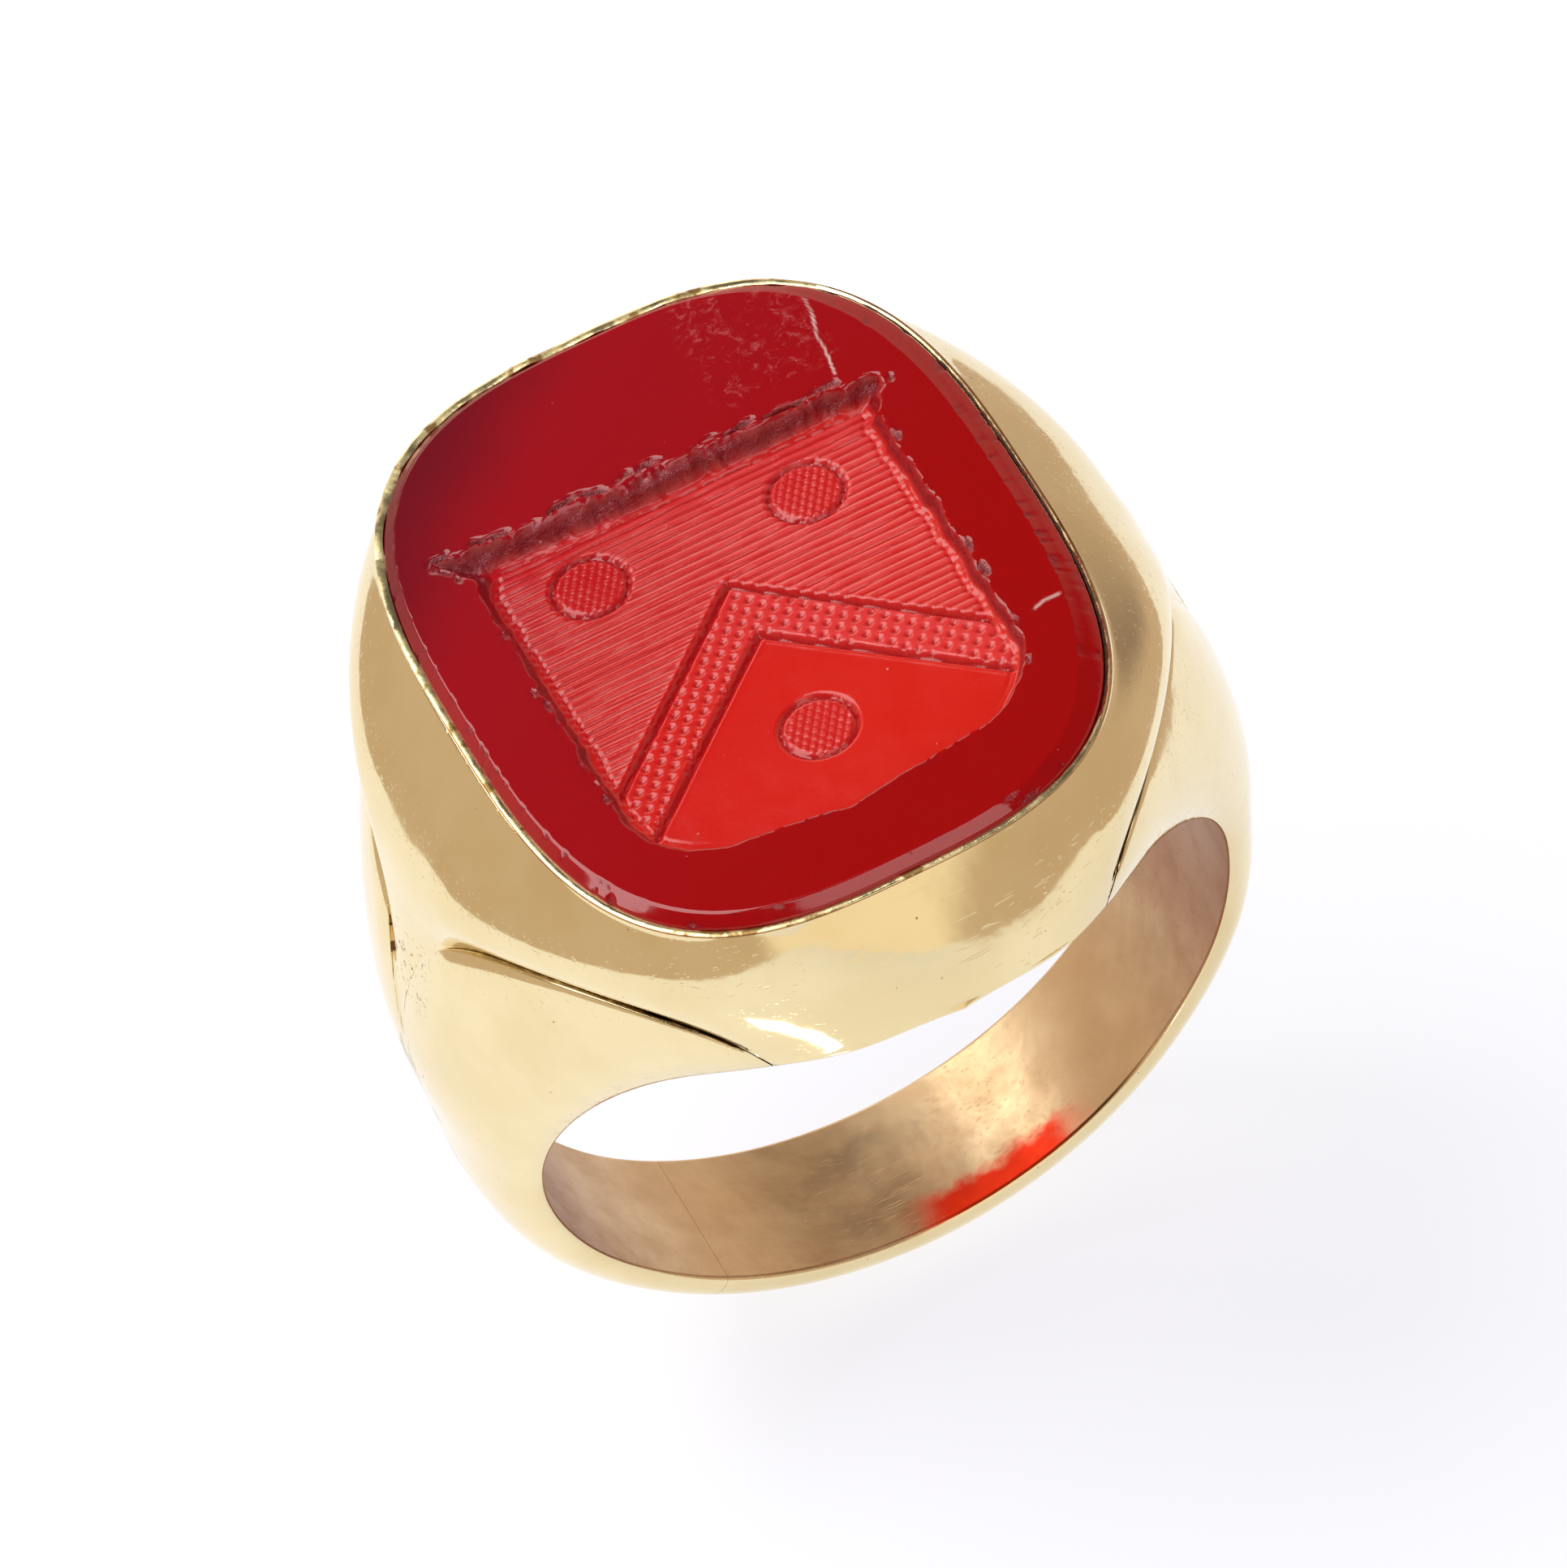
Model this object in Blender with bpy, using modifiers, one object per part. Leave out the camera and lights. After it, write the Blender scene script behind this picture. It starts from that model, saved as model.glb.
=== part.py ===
"""A gold signet ring: two shank arms, a cushion head, a bezel lip, a bearing, cement and a seal stone.

The finger hole runs along Y, the seal faces +Z and the ring stands on the bottom of its band, at z = 0.
Places around the hole are an angle, 0 towards +X and 90 up to the seal, and a share of the half width,
0 on the ring's middle and 1 on the edge of the hole. Every shape is one quarter or half of a symmetric
piece, completed by a Mirror modifier.
"""

import math

import bmesh
import bpy
from mathutils import Vector

MM = 0.001

# Driving dimensions.
HOLE_RADIUS = 9.5 * MM
BAND_THICKNESS = 1.55 * MM
RIM_HEIGHT = 13.3 * MM  # above the centre of the hole
STONE_HALF_WIDTH = 7.6 * MM  # along X, where the stone leaves the gold
STONE_HALF_LENGTH = 9.82 * MM  # along Y
CUSHION_POWER = 3.0  # 2 would be an ellipse
SECTION_POWER = 2.1  # the band's D section
SEAM_ANGLE = -125.5  # where the band was cut to size and soldered, past its base
SOLDER_GAP = 0.06 * MM
FIT_GAP = 0.02 * MM

HOLE_CENTRE = HOLE_RADIUS + BAND_THICKNESS
RIM_Z = HOLE_CENTRE + RIM_HEIGHT

# The seal stone, its seat and the window that lets light through it.
LIP_THICKNESS = 0.11 * MM
LIP_DEPTH = 1.3 * MM
LIP_CHAMFER = 0.05 * MM
POCKET_GROWTH = LIP_THICKNESS + 2 * FIT_GAP
RIM_GROWTH = POCKET_GROWTH + 0.04 * MM
RIM_DROP = 0.08 * MM
SHELF_Z = RIM_Z - 3.0 * MM
WINDOW_INSET = 1.3 * MM
BEARING_THICKNESS = 0.6 * MM
CEMENT_THICKNESS = 0.2 * MM
STONE_BOTTOM_Z = SHELF_Z + BEARING_THICKNESS + CEMENT_THICKNESS + 3 * FIT_GAP
STONE_KEEL_INSET = 0.9 * MM
STONE_GIRDLE_Z = RIM_Z - 1.45 * MM
BEVEL_WIDTH = 0.33 * MM
BEVEL_HEIGHT = 0.22 * MM
TABLE_Z = RIM_Z + BEVEL_HEIGHT

# The engraved shield.
SHIELD_DEPTH = 0.5 * MM
SHIELD_TOP = 4.9 * MM
SHIELD_CORNER = 6.1 * MM
SHIELD_HALF_WIDTH = 5.4 * MM
SHIELD_FOOT = -7.4 * MM
SHIELD_LINE_WIDTH = 0.24 * MM
SHIELD_LINE_DEPTH = 0.16 * MM
SHIELD_CORNER_DROP = 1.2 * MM
SHIELD_TURN_RADIUS = 2.4 * MM
SHIELD_TURN = 70  # degrees, from the straight side towards the foot
SHIELD_FOOT_RISE = 0.3 * MM
ROUNDEL_RADIUS = 0.95 * MM
ROUNDEL_PLACES = [(-2.9, 2.9), (2.9, 2.9), (0, -4.3)]  # millimetres
CHEVRON = [(-4.6, -3.4), (0, 0.9), (4.6, -3.4)]
CHEVRON_STEP = 1.9
CUTTER_RISE = 0.5 * MM

# Stations (angle, millimetres) around the hole.
HALF_WIDTH = [(-90, 2.25), (-45, 2.25), (-15, 2.7), (0, 3.2), (15, 4.1), (30, 5.4), (45, 7.15), (60, 9.35),
              (75, 11.0), (90, 11.45)]
ARM_THICKNESS = [(-90, 1.55), (-45, 1.4), (0, 1.4), (15, 2.1), (30, 3.0), (45, 4.25), (60, 5.6)]
# Stations (share of the half width, angle) of the groove where the arm meets the head.
GROOVE_ANGLE = [(0, 18), (0.09, 29), (0.18, 36.5), (0.28, 41), (0.45, 45.5), (0.67, 50.8), (0.87, 56.5),
                (1, 62)]
GROOVE_DEPTH = [(0, 0), (0.12, 0.1), (0.3, 0.32), (0.9, 0.35), (1, 0.3)]
# Stations (bearing around Z, millimetres) of the point that the head's wall leans towards below its rim.
WALL_PULL_RADIUS = [(0, 10.8), (16, 11.05), (26, 11.2), (42, 11.15), (50, 11.3), (65, 11.2), (90, 11.05)]
WALL_PULL_HEIGHT = [(0, 10.2), (16, 10.6), (26, 11.0), (42, 11.2), (65, 11.2), (90, 11.4)]

GROOVE_COLUMNS = 16
EDGE_COLUMNS = 9
ARM_ROWS = 16
GROOVE_LANDS = (1.0, 0.55, 0.25, 0.0)  # millimetres from the groove, where the arm's last rows lie
WALL_ROWS = 8
BORE_ROWS = 2
CUSHION_COLUMNS = 20

GOLD = (0.87, 0.68, 0.36)
CARNELIAN = (0.62, 0.02, 0.02)
SHELLAC = (0.10, 0.04, 0.02)


def clear_scene():
    for found in list(bpy.data.objects):
        bpy.data.objects.remove(found)


def collection(name):
    made = bpy.data.collections.new(name)
    bpy.context.scene.collection.children.link(made)
    return made


def material(name, color, roughness, metallic=0.0, transmission=0.0):
    made = bpy.data.materials.new(name)
    made.use_nodes = True
    shader = made.node_tree.nodes["Principled BSDF"]
    shader.inputs["Base Color"].default_value = (*color, 1)
    shader.inputs["Roughness"].default_value = roughness
    shader.inputs["Metallic"].default_value = metallic
    shader.inputs["Transmission Weight"].default_value = transmission
    return made


def smooth(stations, at):
    """A curve through the stations, level at neither end and free of overshoot."""
    last = len(stations) - 1
    slopes = [(b[1] - a[1]) / (b[0] - a[0]) for a, b in zip(stations, stations[1:])]
    i = max(0, min(last - 1, sum(1 for x, _ in stations if x <= at) - 1))
    ends = []
    for k in (i, i + 1):
        before = slopes[max(k - 1, 0)]
        after = slopes[min(k, last - 1)]
        flat = before * after <= 0
        ends.append(0.0 if flat else 2 * before * after / (before + after))
    (x0, y0), (x1, y1) = stations[i], stations[i + 1]
    span = x1 - x0
    u = min(max((at - x0) / span, 0.0), 1.0)
    rise = y0 * (1 + 2 * u) * (1 - u) ** 2 + y1 * u * u * (3 - 2 * u)
    return rise + span * (ends[0] * u * (1 - u) ** 2 - ends[1] * u * u * (1 - u))


def dome(share):
    """Height of the band's D section at a share of its half width."""
    return max(0.0, 1 - share ** SECTION_POWER) ** (1 / SECTION_POWER)


def band_side(angle):
    """The same angle on the band's +X side, for a place past its base."""
    return max(angle, -180 - angle)


def around_hole(angle, share, radius):
    turn = math.radians(angle)
    across = share * smooth(HALF_WIDTH, band_side(angle)) * MM
    return Vector((radius * math.cos(turn), across, HOLE_CENTRE + radius * math.sin(turn)))


def arm_radius(angle, share):
    return HOLE_RADIUS + smooth(ARM_THICKNESS, band_side(angle)) * MM * dome(share)


def groove_radius(share):
    """Radius of the groove's bottom, where the arm and the head meet."""
    if share >= 1:
        return HOLE_RADIUS
    open_radius = arm_radius(smooth(GROOVE_ANGLE, share), share)
    return max(HOLE_RADIUS + 0.02 * MM, open_radius - smooth(GROOVE_DEPTH, share) * MM)


def groove_shares():
    return [math.sin(math.pi / 2 * k / GROOVE_COLUMNS) for k in range(GROOVE_COLUMNS + 1)]


def grid_object(name, rows, closed, where, finish):
    """A mesh of the rows of points, each joined to the next, and the last to the first where closed."""
    mesh = bpy.data.meshes.new(name)
    shape = bmesh.new()
    points = [[shape.verts.new(p) for p in row] for row in rows]
    for a, b in zip(points, points[1:] + points[:1] if closed else points[1:]):
        for k in range(len(a) - 1):
            shape.faces.new((a[k], a[k + 1], b[k + 1], b[k]))
    return finish_mesh(name, shape, mesh, where, finish)


def finish_mesh(name, shape, mesh, where, finish):
    bmesh.ops.remove_doubles(shape, verts=shape.verts, dist=0.001 * MM)
    bmesh.ops.dissolve_degenerate(shape, edges=shape.edges, dist=0.0005 * MM)
    bmesh.ops.recalc_face_normals(shape, faces=shape.faces)
    shape.to_mesh(mesh)
    shape.free()
    mesh.materials.append(finish)
    mesh.shade_smooth()
    mesh.set_sharp_from_angle(angle=math.radians(35))
    made = bpy.data.objects.new(name, mesh)
    where.objects.link(made)
    return made


def mirror(target, across_x, across_y):
    fold = target.modifiers.new("Mirror", "MIRROR")
    fold.use_axis = (across_x, across_y, False)
    fold.merge_threshold = 0.00001
    fold.use_clip = True


def arm_angles(share, seam):
    """Angles of the arm's rows along one column, from the sizing seam to the groove."""
    start = seam + math.degrees(SOLDER_GAP / 2 / HOLE_RADIUS)
    end = smooth(GROOVE_ANGLE, share) - math.degrees(SOLDER_GAP / 2 / HOLE_RADIUS)
    per_mm = math.degrees(MM / (HOLE_RADIUS + 2 * MM))
    landing = end - GROOVE_LANDS[0] * per_mm
    rows = [start + (landing - start) * k / ARM_ROWS for k in range(ARM_ROWS)]
    return rows + [end - land * per_mm for land in GROOVE_LANDS]


def shank_arm(name, seam, where, finish):
    """One side of the band, from the seam up to two lobes that hold the head's tongue between them."""
    shares = groove_shares()
    columns = [arm_angles(share, seam) for share in shares]
    rows = []
    for k in range(len(columns[0])):
        outside = []
        inside = []
        for share, angles in zip(shares, columns):
            rolled = ((k - ARM_ROWS) / (len(GROOVE_LANDS) - 1)) ** 3 if k > ARM_ROWS else 0
            open_radius = arm_radius(angles[k], share)
            radius = open_radius + (groove_radius(share) - open_radius) * rolled
            outside.append(around_hole(angles[k], share, radius))
            inside.append(around_hole(angles[k], share, HOLE_RADIUS))
        rows.append(outside + inside[-2::-1])
    made = grid_object(name, rows, False, where, finish)
    cap_arm(made.data, rows)
    mirror(made, False, True)
    return made


def cap_arm(mesh, rows):
    """Faces over the arm's two ends, between its outside and its bore."""
    shape = bmesh.new()
    shape.from_mesh(mesh)
    for row in (rows[0], rows[-1]):
        points = [shape.verts.new(p) for p in row]
        last = len(points) - 1
        for k in range(last // 2):
            shape.faces.new(dict.fromkeys((points[k], points[k + 1], points[last - k - 1], points[last - k])))
    bmesh.ops.remove_doubles(shape, verts=shape.verts, dist=0.001 * MM)
    bmesh.ops.recalc_face_normals(shape, faces=shape.faces)
    shape.to_mesh(mesh)
    shape.free()


def cushion_point(bearing, growth, height):
    """A point of the stone's outline, grown sideways, at a bearing around Z from +X."""
    c = abs(math.cos(bearing)) / (STONE_HALF_WIDTH + growth)
    s = abs(math.sin(bearing)) / (STONE_HALF_LENGTH + growth)
    radius = (c ** CUSHION_POWER + s ** CUSHION_POWER) ** (-1 / CUSHION_POWER)
    return Vector((radius * math.cos(bearing), radius * math.sin(bearing), height))


def head_foot():
    """The head's lower edge in one quarter: its points outside, then the same joint at the bore."""
    back_off = math.degrees(SOLDER_GAP / 2 / HOLE_RADIUS)
    outside = []
    inside = []
    for share in groove_shares():
        angle = smooth(GROOVE_ANGLE, share) + back_off
        outside.append(around_hole(angle, share, groove_radius(share)))
        inside.append((angle, share * smooth(HALF_WIDTH, angle) * MM))
    groove_end = inside[-1][0]
    for k in range(1, EDGE_COLUMNS + 1):
        angle = groove_end + (90 - groove_end) * k / EDGE_COLUMNS
        outside.append(around_hole(angle, 1, HOLE_RADIUS))
        inside.append((angle, smooth(HALF_WIDTH, angle) * MM))
    return outside, inside


def wall_column(foot):
    """The head's wall from its rim down to one point of its lower edge, leaning out on the way."""
    bearing = math.atan2(foot.y, foot.x)
    rim = cushion_point(bearing, RIM_GROWTH, RIM_Z - RIM_DROP)
    reach = smooth(WALL_PULL_RADIUS, math.degrees(bearing)) * MM
    level = HOLE_CENTRE + smooth(WALL_PULL_HEIGHT, math.degrees(bearing)) * MM
    pull = Vector((reach * math.cos(bearing), reach * math.sin(bearing), level))
    steps = [k / WALL_ROWS for k in range(WALL_ROWS + 1)]
    return [rim * (1 - u) ** 2 + pull * 2 * u * (1 - u) + foot * u * u for u in steps]


def bore_column(start, bearing):
    """Along the bore from the joint to the light window's edge."""
    goal = cushion_point(bearing, -WINDOW_INSET, 0)
    goal_angle = math.degrees(math.acos(goal.x / HOLE_RADIUS))
    made = []
    for k in range(BORE_ROWS + 1):
        u = k / BORE_ROWS
        turn = math.radians(start[0] + (goal_angle - start[0]) * u)
        across = start[1] + (goal.y - start[1]) * u
        height = HOLE_CENTRE + HOLE_RADIUS * math.sin(turn)
        made.append(Vector((HOLE_RADIUS * math.cos(turn), across, height)))
    return made


def head(where, finish):
    """The gold mount: cushion wall, tongues between the arms, stone pocket, shelf and light window."""
    columns = []
    for foot, bore_start in zip(*head_foot()):
        bearing = math.atan2(foot.y, foot.x)
        inner = ((-WINDOW_INSET, SHELF_Z), (POCKET_GROWTH, SHELF_Z), (POCKET_GROWTH, RIM_Z - RIM_DROP))
        pocket = [cushion_point(bearing, growth, height) for growth, height in inner]
        columns.append(wall_column(foot) + bore_column(bore_start, bearing) + pocket)
    for first, last in zip(columns[0], columns[-1]):
        first.y = 0
        last.x = 0
    rows = [list(row) for row in zip(*columns)]
    made = grid_object("head", rows, True, where, finish)
    mirror(made, True, True)
    return made


def cushion_ring(name, profile, where, finish):
    """A piece that follows the stone's outline, with the profile's (growth, height) points round it."""
    turns = [math.pi / 2 * k / CUSHION_COLUMNS for k in range(CUSHION_COLUMNS + 1)]
    rows = [[cushion_point(turn, growth, height) for turn in turns] for growth, height in profile]
    for row in rows:
        row[0].y = 0
        row[-1].x = 0
    made = grid_object(name, rows, True, where, finish)
    mirror(made, True, True)
    return made


def bezel_lip(where, finish):
    """The thin rim that is rubbed down over the stone's edge."""
    outside = POCKET_GROWTH - FIT_GAP
    profile = [(FIT_GAP, RIM_Z - LIP_DEPTH), (outside, RIM_Z - LIP_DEPTH), (outside, RIM_Z - LIP_CHAMFER),
               (outside - LIP_CHAMFER, RIM_Z), (FIT_GAP, RIM_Z)]
    return cushion_ring("bezel_lip", profile, where, finish)


def bearing(where, finish):
    """The flat seat ring on the shelf."""
    low = SHELF_Z + FIT_GAP
    high = low + BEARING_THICKNESS
    outside = POCKET_GROWTH - FIT_GAP
    inside = -WINDOW_INSET
    profile = [(inside, low), (outside, low), (outside, high), (inside, high)]
    return cushion_ring("bearing_ledge", profile, where, finish)


def cement(where, finish):
    """The shellac that beds the stone's keel in the pocket."""
    low = SHELF_Z + BEARING_THICKNESS + 2 * FIT_GAP
    top = RIM_Z - LIP_DEPTH - FIT_GAP
    outside = POCKET_GROWTH - FIT_GAP
    clear = 2 * FIT_GAP
    bed = STONE_BOTTOM_Z - FIT_GAP
    profile = [(-WINDOW_INSET, low), (outside, low), (outside, top), (clear, top),
               (clear, STONE_GIRDLE_Z - clear), (clear - STONE_KEEL_INSET, bed), (-WINDOW_INSET, bed)]
    return cushion_ring("cement_bed", profile, where, finish)


def seal_blank(where, finish):
    """The stone before engraving: flat table, bevel, upright girdle and sloping keel."""
    profile = [(-STONE_KEEL_INSET, STONE_BOTTOM_Z), (0, STONE_GIRDLE_Z), (0, RIM_Z), (-BEVEL_WIDTH, TABLE_Z)]
    turns = [math.tau * k / (4 * CUSHION_COLUMNS) for k in range(4 * CUSHION_COLUMNS)]
    shape = bmesh.new()
    loops = []
    for growth, height in profile:
        loops.append([shape.verts.new(cushion_point(turn, growth, height)) for turn in turns])
    for a, b in zip(loops, loops[1:]):
        for k in range(len(a)):
            following = (k + 1) % len(a)
            shape.faces.new((a[k], a[following], b[following], b[k]))
    shape.faces.new(loops[0])
    shape.faces.new(loops[-1])
    return finish_mesh("intaglio_stone", shape, bpy.data.meshes.new("intaglio_stone"), where, finish)


def flat_cutter(name, outline, floor, where, cyclic=True, width=0.0):
    """A cutter from an outline on the stone's table down to a floor; an open line gets a width instead."""
    curve = bpy.data.curves.new(name, "CURVE")
    curve.dimensions = "2D" if cyclic else "3D"
    line = curve.splines.new("POLY")
    line.points.add(len(outline) - 1)
    for point, (x, y) in zip(line.points, outline):
        point.co = (x, y, 0, 1)
    line.use_cyclic_u = cyclic
    height = TABLE_Z + CUTTER_RISE - floor
    if cyclic:
        curve.fill_mode = "BOTH"
        curve.extrude = height / 2
    else:
        curve.bevel_depth = width / 2
        curve.bevel_resolution = 2
        curve.use_fill_caps = True
    guide = bpy.data.objects.new(name, curve)
    guide.location.z = floor + (height / 2 if cyclic else 0)
    where.objects.link(guide)
    bpy.context.view_layer.update()
    seen = guide.evaluated_get(bpy.context.evaluated_depsgraph_get())
    mesh = bpy.data.meshes.new_from_object(seen)
    shape = bmesh.new()
    shape.from_mesh(mesh)
    bmesh.ops.remove_doubles(shape, verts=shape.verts, dist=0.001 * MM)
    shape.to_mesh(mesh)
    shape.free()
    cutter = bpy.data.objects.new(name + "_tool", mesh)
    cutter.matrix_world = guide.matrix_world
    bpy.data.objects.remove(guide)
    where.objects.link(cutter)
    cutter.hide_render = True
    cutter.display_type = "WIRE"
    return cutter


def cut(target, cutter):
    step = target.modifiers.new(cutter.name, "BOOLEAN")
    step.operation = "DIFFERENCE"
    step.object = cutter
    step.solver = "EXACT"


def shield_outline(steps=8):
    """A broad shield: level top with drawn-out corners, straight sides and a foot of two quarter turns."""
    side = [(SHIELD_CORNER, SHIELD_TOP), (SHIELD_HALF_WIDTH, SHIELD_TOP - SHIELD_CORNER_DROP)]
    centre_y = SHIELD_FOOT + SHIELD_TURN_RADIUS + SHIELD_FOOT_RISE
    for k in range(steps + 1):
        turn = math.radians(SHIELD_TURN * k / steps)
        inset = SHIELD_TURN_RADIUS * (1 - math.cos(turn))
        side.append((SHIELD_HALF_WIDTH - inset, centre_y - SHIELD_TURN_RADIUS * math.sin(turn)))
    side.append((0, SHIELD_FOOT))
    return side + [(-x, y) for x, y in side[-2::-1]]


def circle(x, y, radius, corners=24):
    turns = [math.tau * k / corners for k in range(corners)]
    return [(x + radius * math.cos(turn), y + radius * math.sin(turn)) for turn in turns]


def engrave(stone, cutters):
    """Sink the shield, then its dividing line, chevron and three roundels."""
    floor = TABLE_Z - SHIELD_DEPTH
    cut(stone, flat_cutter("shield_cutter", shield_outline(), floor, cutters))
    level = floor + SHIELD_LINE_WIDTH / 2 - SHIELD_LINE_DEPTH
    for name, drop in (("chevron_upper", 0), ("chevron_lower", CHEVRON_STEP)):
        route = [(x * MM, (y - drop) * MM) for x, y in CHEVRON]
        cut(stone, flat_cutter(name, route, level, cutters, cyclic=False, width=SHIELD_LINE_WIDTH))
    for k, (x, y) in enumerate(ROUNDEL_PLACES):
        outline = circle(x * MM, y * MM, ROUNDEL_RADIUS)
        cut(stone, flat_cutter(f"roundel_{k}", outline, floor - SHIELD_LINE_DEPTH, cutters))


def main():
    clear_scene()
    ring = collection("signet_ring")
    cutters = collection("cutters")
    gold = material("polished_gold", GOLD, 0.14, metallic=1.0)
    lip_gold = material("burnished_gold", GOLD, 0.22, metallic=1.0)
    carnelian = material("carnelian", CARNELIAN, 0.1, transmission=0.6)
    shellac = material("shellac", SHELLAC, 0.4)

    shank_arm("right_shank", SEAM_ANGLE, ring, gold)
    left = shank_arm("left_shank", -180 - SEAM_ANGLE, ring, gold)
    left.rotation_euler.z = math.pi
    head(ring, gold)
    bezel_lip(ring, lip_gold)
    bearing(ring, gold)
    cement(ring, shellac)
    engrave(seal_blank(ring, carnelian), cutters)


main()
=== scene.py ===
"""Looks of a gold signet ring with an engraved carnelian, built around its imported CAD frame.

Lengths are in millimetres until a mesh is made. The gold follows the CAD's own stations, on finer grids:
places around the finger hole are an angle, 0 towards +X and 90 up to the seal, and a share of the half width.
"""

import math

import bpy
import numpy as np
from mathutils import Matrix, Vector


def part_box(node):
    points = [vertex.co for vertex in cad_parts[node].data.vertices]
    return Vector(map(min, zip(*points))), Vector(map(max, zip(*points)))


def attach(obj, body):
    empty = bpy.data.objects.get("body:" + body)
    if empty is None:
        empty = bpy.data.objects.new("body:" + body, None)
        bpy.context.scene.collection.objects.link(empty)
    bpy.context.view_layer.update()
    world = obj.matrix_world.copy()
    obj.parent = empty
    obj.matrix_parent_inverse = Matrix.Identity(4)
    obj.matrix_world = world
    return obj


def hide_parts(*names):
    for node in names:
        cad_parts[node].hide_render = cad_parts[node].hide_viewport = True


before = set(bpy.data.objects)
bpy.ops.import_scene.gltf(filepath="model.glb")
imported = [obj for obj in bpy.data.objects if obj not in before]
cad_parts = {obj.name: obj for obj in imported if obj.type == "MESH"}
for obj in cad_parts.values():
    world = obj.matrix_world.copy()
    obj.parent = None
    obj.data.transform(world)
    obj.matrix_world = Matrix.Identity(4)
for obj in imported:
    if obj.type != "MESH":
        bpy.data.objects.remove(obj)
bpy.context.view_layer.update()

MM = 0.001
HOLE_RADIUS = 9.5
HOLE_CENTRE = 11.05
RIM_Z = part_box("bezel_lip")[1].z / MM
TABLE_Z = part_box("intaglio_stone")[1].z / MM
STONE_BOTTOM_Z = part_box("intaglio_stone")[0].z / MM
SHELF_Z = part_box("bearing_ledge")[0].z / MM
SEAT_TOP_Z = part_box("bearing_ledge")[1].z / MM
STONE_HALF_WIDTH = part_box("intaglio_stone")[1].x / MM
STONE_HALF_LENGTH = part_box("intaglio_stone")[1].y / MM
CUSHION_POWER = 3.0
SECTION_POWER = 2.1
SEAM_ANGLE = -125.5
SEAM_GAP = 0.004
POCKET_GROWTH = 0.15
RIM_GROWTH = 0.19
RIM_DROP = 0.08
WINDOW_INSET = 1.3
KEEL_INSET = 0.9
GIRDLE_DEPTH = 1.45
EDGE_ROUND = 0.13
ROUND_TURNS = (25, 50, 72, 90)
FILM = 0.02  # between neighbouring faces of the head, seat, cement and stone
LOBE_CLEARANCE = 0.028
LOBE_RADIUS = 12.0  # roughly that of the surface at the lobes, to turn lengths along it into angles
NOSE_SHARE = 0.28  # a lobe's round nose lies between the ring's middle and here

HALF_WIDTH = [(-90, 2.25), (-45, 2.25), (-15, 2.7), (0, 3.2), (15, 4.1), (30, 5.4), (45, 7.15), (60, 9.35),
              (75, 11.0), (90, 11.45)]
ARM_THICKNESS = [(-90, 1.55), (-45, 1.4), (0, 1.4), (15, 2.1), (30, 3.0), (45, 4.25), (60, 5.6)]
GROOVE_ANGLE = [(0, 18), (0.09, 29), (0.18, 36.5), (0.28, 41), (0.45, 45.5), (0.67, 50.8), (0.87, 56.5),
                (1, 62)]
SHOULDER_ANGLE = [(0, 39.5), (0.28, 41), (0.45, 45.5), (0.67, 50.8), (0.87, 56.5), (1, 62)]
GROOVE_DEPTH = [(0, 0), (0.12, 0.1), (0.3, 0.32), (0.9, 0.35), (1, 0.3)]
WALL_PULL_RADIUS = [(0, 10.8), (16, 11.05), (26, 11.2), (42, 11.15), (50, 11.3), (65, 11.2), (90, 11.05)]
WALL_PULL_HEIGHT = [(0, 10.2), (16, 10.6), (26, 11.0), (42, 11.2), (65, 11.2), (90, 11.4)]
ARM_ROLL_WIDTH = [(0, 0.9), (0.12, 0.85), (0.3, 0.66), (0.6, 0.42), (1, 0.28)]
WALL_DIP_SHARE = 0.6  # of the groove's depth, taken by the head's own roll into it
WALL_DIP_WIDTH = [(0, 0.25), (0.12, 0.9), (0.3, 1.15), (0.5, 0.75), (0.7, 0.45), (1, 0.32)]

ARM_COLUMNS = 44
ARM_ROWS = 80
ARM_LANDS = (1.2, 0.95, 0.75, 0.58, 0.44, 0.33, 0.25, 0.18, 0.12, 0.07, 0.03, 0.0)
GROOVE_COLUMNS = 46
RIM_COLUMNS = 34
WALL_ROWS = 56
BORE_ROWS = 10
RING_COLUMNS = 240


# ---------------------------------------------------------------- curves and noise

def through(stations, blur=0.0):
    """A monotone cubic through the stations, as a function, softened over a width of its argument."""
    xs = np.array([x for x, _ in stations], float)
    ys = np.array([y for _, y in stations], float)
    slopes = np.diff(ys) / np.diff(xs)
    before = np.concatenate([slopes[:1], slopes])
    after = np.concatenate([slopes, slopes[-1:]])
    product = before * after
    ends = np.where(product > 0, 2 * product / np.where(before + after == 0, 1, before + after), 0)
    fine = np.linspace(xs[0], xs[-1], 1201)
    i = np.clip(np.searchsorted(xs, fine, side="right") - 1, 0, len(xs) - 2)
    span = xs[i + 1] - xs[i]
    u = (fine - xs[i]) / span
    made = ys[i] * (1 + 2 * u) * (1 - u) ** 2 + ys[i + 1] * u * u * (3 - 2 * u)
    made = made + span * (ends[i] * u * (1 - u) ** 2 - ends[i + 1] * u * u * (1 - u))
    if blur:
        reach = int(3 * blur / (fine[1] - fine[0]))
        weight = np.exp(-0.5 * (np.arange(-reach, reach + 1) / (reach / 3)) ** 2)
        padded = np.concatenate([made[reach:0:-1], made, 2 * made[-1] - made[-2:-reach - 2:-1]])
        made = np.convolve(padded, weight / weight.sum(), mode="valid")
    return lambda at: np.interp(at, fine, made)


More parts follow.
